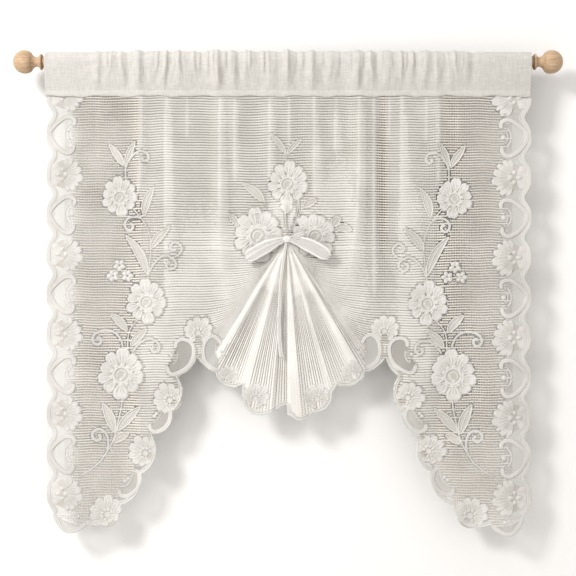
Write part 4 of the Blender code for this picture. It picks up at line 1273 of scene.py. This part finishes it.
# The angle below level at which the linen leaves the rod
WRAP = math.radians(15.0)
LINEN_RADIUS = (ROD_RADIUS + ROD_ROOM) / math.cos(WRAP) + LINEN_THICKNESS / 2.0
SEAM = -0.0605
drawn_up = np.random.default_rng(5)
PUCKERS = [(x + drawn_up.uniform(-0.009, 0.009), drawn_up.uniform(0.0010, 0.0044),
            drawn_up.uniform(0.0030, 0.0062), drawn_up.uniform(-0.024, 0.024),
            drawn_up.uniform(0.35, 0.85)) for x in np.arange(-0.388, 0.376, 0.0165)]
# Waves between the gathers: length, rise, start, lean
SOFT_WAVES = ((0.0730, 0.0013, 2.0, 0.6), (0.0410, 0.0012, 0.5, -0.9),
              (0.0290, 0.0010, 1.4, 1.3), (0.0197, 0.0005, 0.2, -1.8))


# %% The linen's section
def pucker_rise(x, down):
    """The small puckers, which arch aside: down is 0 over the rod and 1 at the seam."""
    total = 0.0 * x
    for at, rise, width, lean, reach in PUCKERS:
        away = x - at - lean * down ** 1.5
        share = 1.0 - smooth(down / reach)
        total = total + rise * share * ridge(away, width * np.where(away > 0.0, 0.7, 1.3))
    return total


def linen_rise(x, down):
    """How far the linen's gathers stand off the rod."""
    drawn = 1.0 - smooth((np.abs(x) - 0.36) / 0.08)
    total = 0.0024 + 0.0 * x
    for length, rise, start, lean in SOFT_WAVES:
        total = total + drawn * rise * np.sin(2.0 * np.pi * x / length + start + lean * down)
    for at, _, _, rise, _, _ in GATHERS:
        away = x - at - 0.003 * math.sin(90.0 * at) * (1.0 - down)
        total = total + rise * (0.62 * ridge(away, np.where(away > 0.0, 0.0075, 0.0140))
                                + 0.16 * ridge(away, np.where(away > 0.0, 0.0025, 0.0045)))
    return total + pucker_rise(x, down)


def seam_point(x, z, face, out=0.0):
    """The linen beside the lace: face is -1 in front and 1 behind."""
    slope = (cloth_y(x + 0.001, z) - cloth_y(x - 0.001, z)) / 0.002
    off = face * (LINEN_THICKNESS / 2.0 + 0.00185 + out) / np.hypot(1.0, slope)
    return np.stack([x - off * slope, cloth_y(x, z) + off, z + 0.0 * x])


def linen_leg(x, face, fall, share):
    """The linen on its way from the rod down to the seam."""
    top = np.stack([x, face * LINEN_RADIUS * math.cos(WRAP) + 0.0 * x,
                    -LINEN_RADIUS * math.sin(WRAP) + 0.0 * x])
    point = top + (seam_point(x, SEAM + 0.0 * x, face) - top) * fall
    point[1] += face * share * linen_rise(x, fall)
    return point


def linen_arc(x, turn):
    """The linen over the rod, at one angle round it."""
    share = 0.25 + 0.60 * (1.0 + math.cos(turn)) / 2.0
    reach = LINEN_RADIUS + share * linen_rise(x, 0.0)
    return np.stack([x, -reach * math.cos(turn), reach * math.sin(turn)])


# %% Sew the heading
def make_heading():
    """The sleeve from its back edge, over the rod, to its front edge."""
    x = np.linspace(-HALF_HEADING, HALF_HEADING, 700)
    wave = 0.0012 * np.sin(2.0 * np.pi * x / 0.105) + 0.0008 * np.sin(2.0 * np.pi * x / 0.047)
    rows = [seam_point(x, z + wave, 1) for z in (-0.0732, -0.0670)]
    rows += [linen_leg(x, 1, fall, 0.30 * 4.0 * fall * (1.0 - fall) + 0.25 * (1.0 - fall))
             for fall in np.linspace(1.0, 0.15, 4)]
    rows += [linen_arc(x, turn) for turn in np.linspace(math.pi + WRAP, -WRAP, 18)]
    falls = np.linspace(0.10, 1.0, 10)
    shares = np.interp(falls, (0.0, 0.28, 0.64, 1.0), (0.85, 1.00, 0.80, 0.10))
    rows += [linen_leg(x, -1, fall, share) for fall, share in zip(falls, shares)]
    rows += [seam_point(x, z + share * wave, -1, out) for z, out, share in (
        (-0.0622, -0.0001, 0.0), (-0.0634, 0.0008, 0.2), (-0.0690, 0.0010, 0.8),
        (-0.0735, 0.0007, 1.0), (HEADING_FOOT, 0.0, 1.0))]
    places = np.stack(rows).transpose(0, 2, 1).reshape(-1, 3)
    piece = mesh_piece("linen_heading", places, grid_faces(len(rows), len(x)), LINEN_FINISH)
    thicken(piece, LINEN_THICKNESS)
    return piece


def linen(name):
    """Slubby linen: uneven yarns both ways in tone and relief, over a fine plain weave."""
    finish, tree, shader, place = new_finish(name, 0.90, sheen=0.2)
    upright = streaky(tree, place, (430.0, 80.0, 60.0), 4.0)
    level = streaky(tree, place, (50.0, 80.0, 520.0), 4.0)
    slubs = add_node(tree, "Mix", "Result", Factor=0.45, A=upright, B=level)
    two_tones(tree, shader, slubs, (0.502, 0.487, 0.461), (0.597, 0.582, 0.556), 0.36, 0.64)
    wide = add_bump(tree, shader, slubs, 0.9, 0.0012)
    weave = streaky(tree, place, (900.0, 900.0, 1500.0))
    add_bump(tree, shader, weave, 0.6, 0.0004, wide)
    return finish


LINEN_FINISH = linen("slub_linen")
heading_piece = make_heading()


# %% The seam's stitches
def make_stitches():
    """Short raised stitches along the seam, a little in front of the linen."""
    starts = np.arange(-0.512, 0.511, 0.0042)
    places, faces = [], []
    for start in starts:
        x = start + np.array((0.0, 0.0008, 0.0022, 0.0030))
        line = seam_point(x, SEAM - 0.0035 + 0.0 * x, -1)
        for up, out in ((0.00055, 0.0006), (0.0, 0.0011), (-0.00055, 0.0006)):
            swell = np.array((0.0, 1.0, 1.0, 0.0))
            places.append(np.column_stack([line[0], line[1] - 0.0001 - out * (0.5 + 0.5 * swell),
                                           line[2] + up * (0.4 + 0.6 * swell)]))
        faces.append(grid_faces(3, 4) + 12 * len(faces))
    return mesh_piece("seam_stitches", np.vstack(places), np.vstack(faces), MOTIF_FINISH)


stitch_piece = make_stitches()

# %% [markdown]
# ## The ribbon bow
# One soft ribbon ties the pinch: a knot, two loops that droop with a small fold beside
# them, and one end that hangs over the pleats. The loops are strips carried out along a
# drooping line and back behind themselves. The ribbon has firm raised edges and a half sheer
# middle, which lets a little of what lies behind show through.

# %% Ribbon sizes
# Half of the room between a loop's two layers, and the ribbon's own thickness
RIBBON = 0.0011
RIBBON_THICKNESS = 0.0005
HALF_LACE = 0.00065
KNOT_SIZE = (0.017, 0.008, 0.014)
# Loops: side, reach, fall, how late it bends, width
LOOPS = ((-1, 0.088, 0.042, 1.35, 0.028), (1, 0.090, 0.038, 1.60, 0.029),
         (1, 0.037, -0.011, 1.20, 0.012))
LOOP_STRIPS = 14
# The free end: x and z down its middle, and its strips, from edge to edge
TAIL = ((-0.0030, -0.381), (-0.0095, -0.420), (-0.0150, -0.465), (-0.0180, -0.510),
        (-0.0188, -0.555), (-0.0175, -0.595), (-0.0140, -0.628))
TAIL_ACROSS = (-1.0, -0.85, -0.5, -0.15, 0.0, 0.15, 0.5, 0.85, 1.0)


def cloth_front(x, z, half_width, half_height):
    """The furthest forward that the lace comes inside a small window."""
    steps = np.linspace(-1.0, 1.0, 5)
    a, b = np.meshgrid(steps * half_width, steps * half_height)
    return float(cloth_y(x + a, z + b).min()) - HALF_LACE


knot_y = (cloth_front(KNOT_X, KNOT_Z, KNOT_SIZE[0] / 2.0, KNOT_SIZE[2] / 2.0)
          - 0.0006 - KNOT_SIZE[1] / 2.0)
print("the knot's middle, y in mm:", round(1000.0 * knot_y, 1))


# %% Ribbon finishes
def satin(name, cover, painted_light=0.0):
    """Soft ribbon: fine threads, a low sheen, how much it covers what lies behind, painted light.
    """
    finish, tree, shader, place = new_finish(name, 0.42, sheen=0.35)
    shader.inputs["Alpha"].default_value = cover
    threads = streaky(tree, place, (300.0, 300.0, 1500.0), 3.0)
    two_tones(tree, shader, threads, *([part + painted_light for part in tone] for tone in (
        (0.66, 0.649, 0.626), (0.73, 0.719, 0.696))))
    add_bump(tree, shader, threads, 0.5, 0.0004)
    return finish


RIBBON_EDGE = satin("ribbon_edge", 0.96)
RIBBON_MIDDLE = satin("sheer_ribbon", 0.62)
# The bow's loops take lighter copies of the ribbon: painted light
HIGHLIGHT_PAINTED_LOOP_EDGE = satin("loop_edge_painted_light", 0.96, 0.045)
HIGHLIGHT_PAINTED_LOOP_MIDDLE = satin("sheer_loop_painted_light", 0.62, 0.03)


# %% Shape the loops
def loop_places(side, reach, fall, bend, width):
    """A loop's ribbon: out in front, round its end and back behind."""
    rows = []
    steps = 56
    for i in range(steps + 1):
        turn = 2.0 * math.pi * (i + 1.2) / (steps + 2.4)
        share = (1.0 - math.cos(turn)) / 2.0
        drop, slope = fall * share ** bend, fall * bend * share ** (bend - 1.0)
        length = math.hypot(slope, reach)
        across = np.array((side * slope, 0.0, reach)) / length
        opened = 0.40 + 0.60 * float(smooth(share / 0.55))
        wide = width * opened * (1.0 - 0.72 * max(0.0, (share - 0.80) / 0.20) ** 2.6)
        x, z = KNOT_X + side * reach * share, KNOT_Z - drop
        clear = cloth_front(x, z, wide / 2.0, wide / 2.0)
        middle = min(knot_y, clear - 0.002 - 0.004 - RIBBON)
        plump = 0.0040 * math.sin(turn) * math.sqrt(share)
        y = knot_y + (middle - knot_y) * float(smooth(share / 0.35)) - plump
        y -= RIBBON * math.cos(turn / 2.0)
        for s in np.linspace(-1.0, 1.0, LOOP_STRIPS + 1):
            rim = 0.0005 * ridge(abs(s) - 0.9, 0.09)
            fold = (0.0021 * (1.0 - share) * math.cos(3.2 * math.pi * s + 0.5)
                    + 0.0010 * math.cos(math.pi * s * 1.5 + 1.0))
            centre = np.array((x, y - rim - fold * math.sin(turn / 2.0), z))
            rows.append(centre + across * wide / 2.0 * s)
    return np.array(rows), grid_faces(steps + 1, LOOP_STRIPS + 1)


# %% Shape the free end
def tail_places():
    """The free end: a narrow ribbon folded along its middle, down over the pleats."""
    line = soft_line(np.array(TAIL) * 1000.0, 4.0) / 1000.0
    rows = []
    for i, (x, z) in enumerate(line):
        fall = i / (len(line) - 1)
        clear = cloth_front(x, z, 0.008, 0.016)
        y = min(clear - 0.002, knot_y + 0.030 * fall) if i else knot_y
        half = 0.0036 * (0.75 + 0.35 * fall + 0.10 * math.sin(9.0 * fall))
        for s in TAIL_ACROSS:
            crease = 0.0009 * (1.0 - abs(s)) + 0.0003 * ridge(abs(s) - 0.85, 0.2)
            rows.append((x + half * s, y - crease, z))
    return np.array(rows), grid_faces(len(line), len(TAIL_ACROSS))


# %% Shape the knot and make the bow
def knot_places():
    """The knot: a blunt cushion with the ribbon's folds wrapped round it."""
    turns, heights = np.meshgrid(np.linspace(0.0, 2.0 * np.pi, 41), np.linspace(-1.45, 1.45, 17))
    folds = 1.0 + 0.07 * np.cos(4.0 * heights + 1.2 * np.sin(turns))
    blunt = np.sign(np.cos(turns)) * np.abs(np.cos(turns)) ** 0.8
    blunt_y = np.sign(np.sin(turns)) * np.abs(np.sin(turns)) ** 0.8
    around = np.cos(heights) ** 0.7 * folds
    x = KNOT_X + KNOT_SIZE[0] / 2.0 * around * blunt
    y = knot_y + KNOT_SIZE[1] / 2.0 * around * blunt_y
    z = KNOT_Z + KNOT_SIZE[2] / 2.0 * np.sin(heights)
    return np.column_stack([x.ravel(), y.ravel(), z.ravel()]), grid_faces(*turns.shape)


def ribbon_piece(name, made, strips=0, edge=RIBBON_EDGE, middle=RIBBON_MIDDLE):
    """A ribbon part with its real thickness: between its edge strips it is sheer."""
    piece = mesh_piece(name, *made, edge)
    piece.data.materials.append(middle)
    for number, face in enumerate(piece.data.polygons):
        face.material_index = int(strips > 0 and 1 < number % strips < strips - 2)
    thicken(piece, RIBBON_THICKNESS)
    return piece


bow_pieces = [ribbon_piece(name, loop_places(*loop), LOOP_STRIPS, HIGHLIGHT_PAINTED_LOOP_EDGE, HIGHLIGHT_PAINTED_LOOP_MIDDLE)
              for name, loop in zip(("bow_loop_left", "bow_loop_right", "bow_fold_right"), LOOPS)]
bow_pieces.append(ribbon_piece("ribbon_end", tail_places(), len(TAIL_ACROSS) - 1))
bow_pieces.append(ribbon_piece("ribbon_knot", knot_places()))

# %% [markdown]
# ## The rod and its finials
# The turned wood keeps the solids of the frame, because a lathe shape is already right. It
# needs only a waxed gloss and grain: long fine streaks, from noise that is stretched along
# the rod's axis.

# %% Wood
def pale_wood(name):
    """Waxed pale wood with its grain along the rod."""
    finish, tree, shader, place = new_finish(name, 0.42)
    grain = streaky(tree, place, (14.0, 260.0, 260.0), 5.0)
    two_tones(tree, shader, grain, (0.40, 0.285, 0.185), (0.60, 0.46, 0.325), 0.30, 0.72)
    add_bump(tree, shader, streaky(tree, place, (90.0, 1500.0, 1500.0)), 0.35, 0.0003)
    return finish


WOOD_FINISH = pale_wood("waxed_pale_wood")
for name in ("rod", "finial_left", "finial_right"):
    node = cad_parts[name]
    node.data.materials.clear()
    node.data.materials.append(WOOD_FINISH)
print("wood on the rod and both finials")

# %% [markdown]
# ## Hide the solids that the pieces replace
# The lace pieces stand for the panel's solid, the linen for the heading's and the ribbon for
# the tie's, so those solids are hidden. The area of each sheet is printed.

for piece in net_pieces + [fan_piece, spray_piece, hem_piece] + border_pieces:
    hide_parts("lace_panel")
for piece in (heading_piece, stitch_piece):
    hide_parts("heading")
for piece in bow_pieces:
    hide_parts("tie")
for piece in net_pieces + [fan_piece, heading_piece] + bow_pieces:
    area = sum(face.area for face in piece.data.polygons)
    print(piece.name, "area in square metres:", round(area, 4))

# %% [markdown]
# ## Floor, backdrop and light
# A pale floor and a pale backdrop just behind the curtain catch its soft shadow. The backdrop
# shows from the front only, so that the back of the curtain can be looked at too. One large
# soft light from the upper left does the modelling, and an even pale surround fills the
# shade.

# %% Stage
BACKDROP_Y = 0.065
FLOOR_Z = -1.25


def stage_plane(name, corners, colour, one_sided):
    """A plain pale surface of the studio."""
    mesh = bpy.data.meshes.new(name)
    mesh.from_pydata(corners, [], [(0, 1, 2, 3)])
    finish, tree, shader, _ = new_finish(name, 0.95, gloss=0.0)
    shader.inputs["Base Color"].default_value = (*colour, 1.0)
    if one_sided:
        behind = add_node(tree, "NewGeometry", "Backfacing")
        clear = add_node(tree, "BsdfTransparent", "BSDF")
        mix = tree.nodes.new("ShaderNodeMixShader")
        tree.links.new(behind, mix.inputs["Fac"])
        tree.links.new(shader.outputs["BSDF"], mix.inputs[1])
        tree.links.new(clear, mix.inputs[2])
        tree.links.new(mix.outputs["Shader"], tree.nodes["Material Output"].inputs["Surface"])
    mesh.materials.append(finish)
    plane = into_scene(name, mesh)


stage_plane("floor", [(-6, -6, FLOOR_Z), (6, -6, FLOOR_Z), (6, 6, FLOOR_Z), (-6, 6, FLOOR_Z)],
            (0.80, 0.79, 0.78), False)
stage_plane("backdrop", [(-2.5, BACKDROP_Y, FLOOR_Z), (2.5, BACKDROP_Y, FLOOR_Z),
                         (2.5, BACKDROP_Y, 1.5), (-2.5, BACKDROP_Y, 1.5)],
            (0.80, 0.798, 0.792), True)

# %% Light
bpy.context.scene.view_settings.view_transform = "Standard"
bpy.context.scene.view_settings.gamma = 0.8
surround = bpy.data.worlds.new("pale_surround")
surround.use_nodes = True
bpy.context.scene.world = surround
sky = surround.node_tree.nodes["Background"]
sky.inputs["Color"].default_value = (1.0, 0.98, 0.96, 1.0)
sky.inputs["Strength"].default_value = 1.02


def soft_light(name, place, aim, size, power):
    """A square studio light that looks at a point."""
    light = bpy.data.lights.new(name, "AREA")
    light.size = size
    light.energy = power
    lamp = into_scene(name, light)
    lamp.location = place
    x, y, z = np.subtract(aim, place)
    lamp.rotation_euler = (math.atan2(math.hypot(x, y), -z), 0.0, math.atan2(-x, y))


soft_light("key_upper_left", (-2.3, -2.7, 1.5), (0.0, 0.0, -0.45), 0.9, 96.0)
print("stage and light are set")
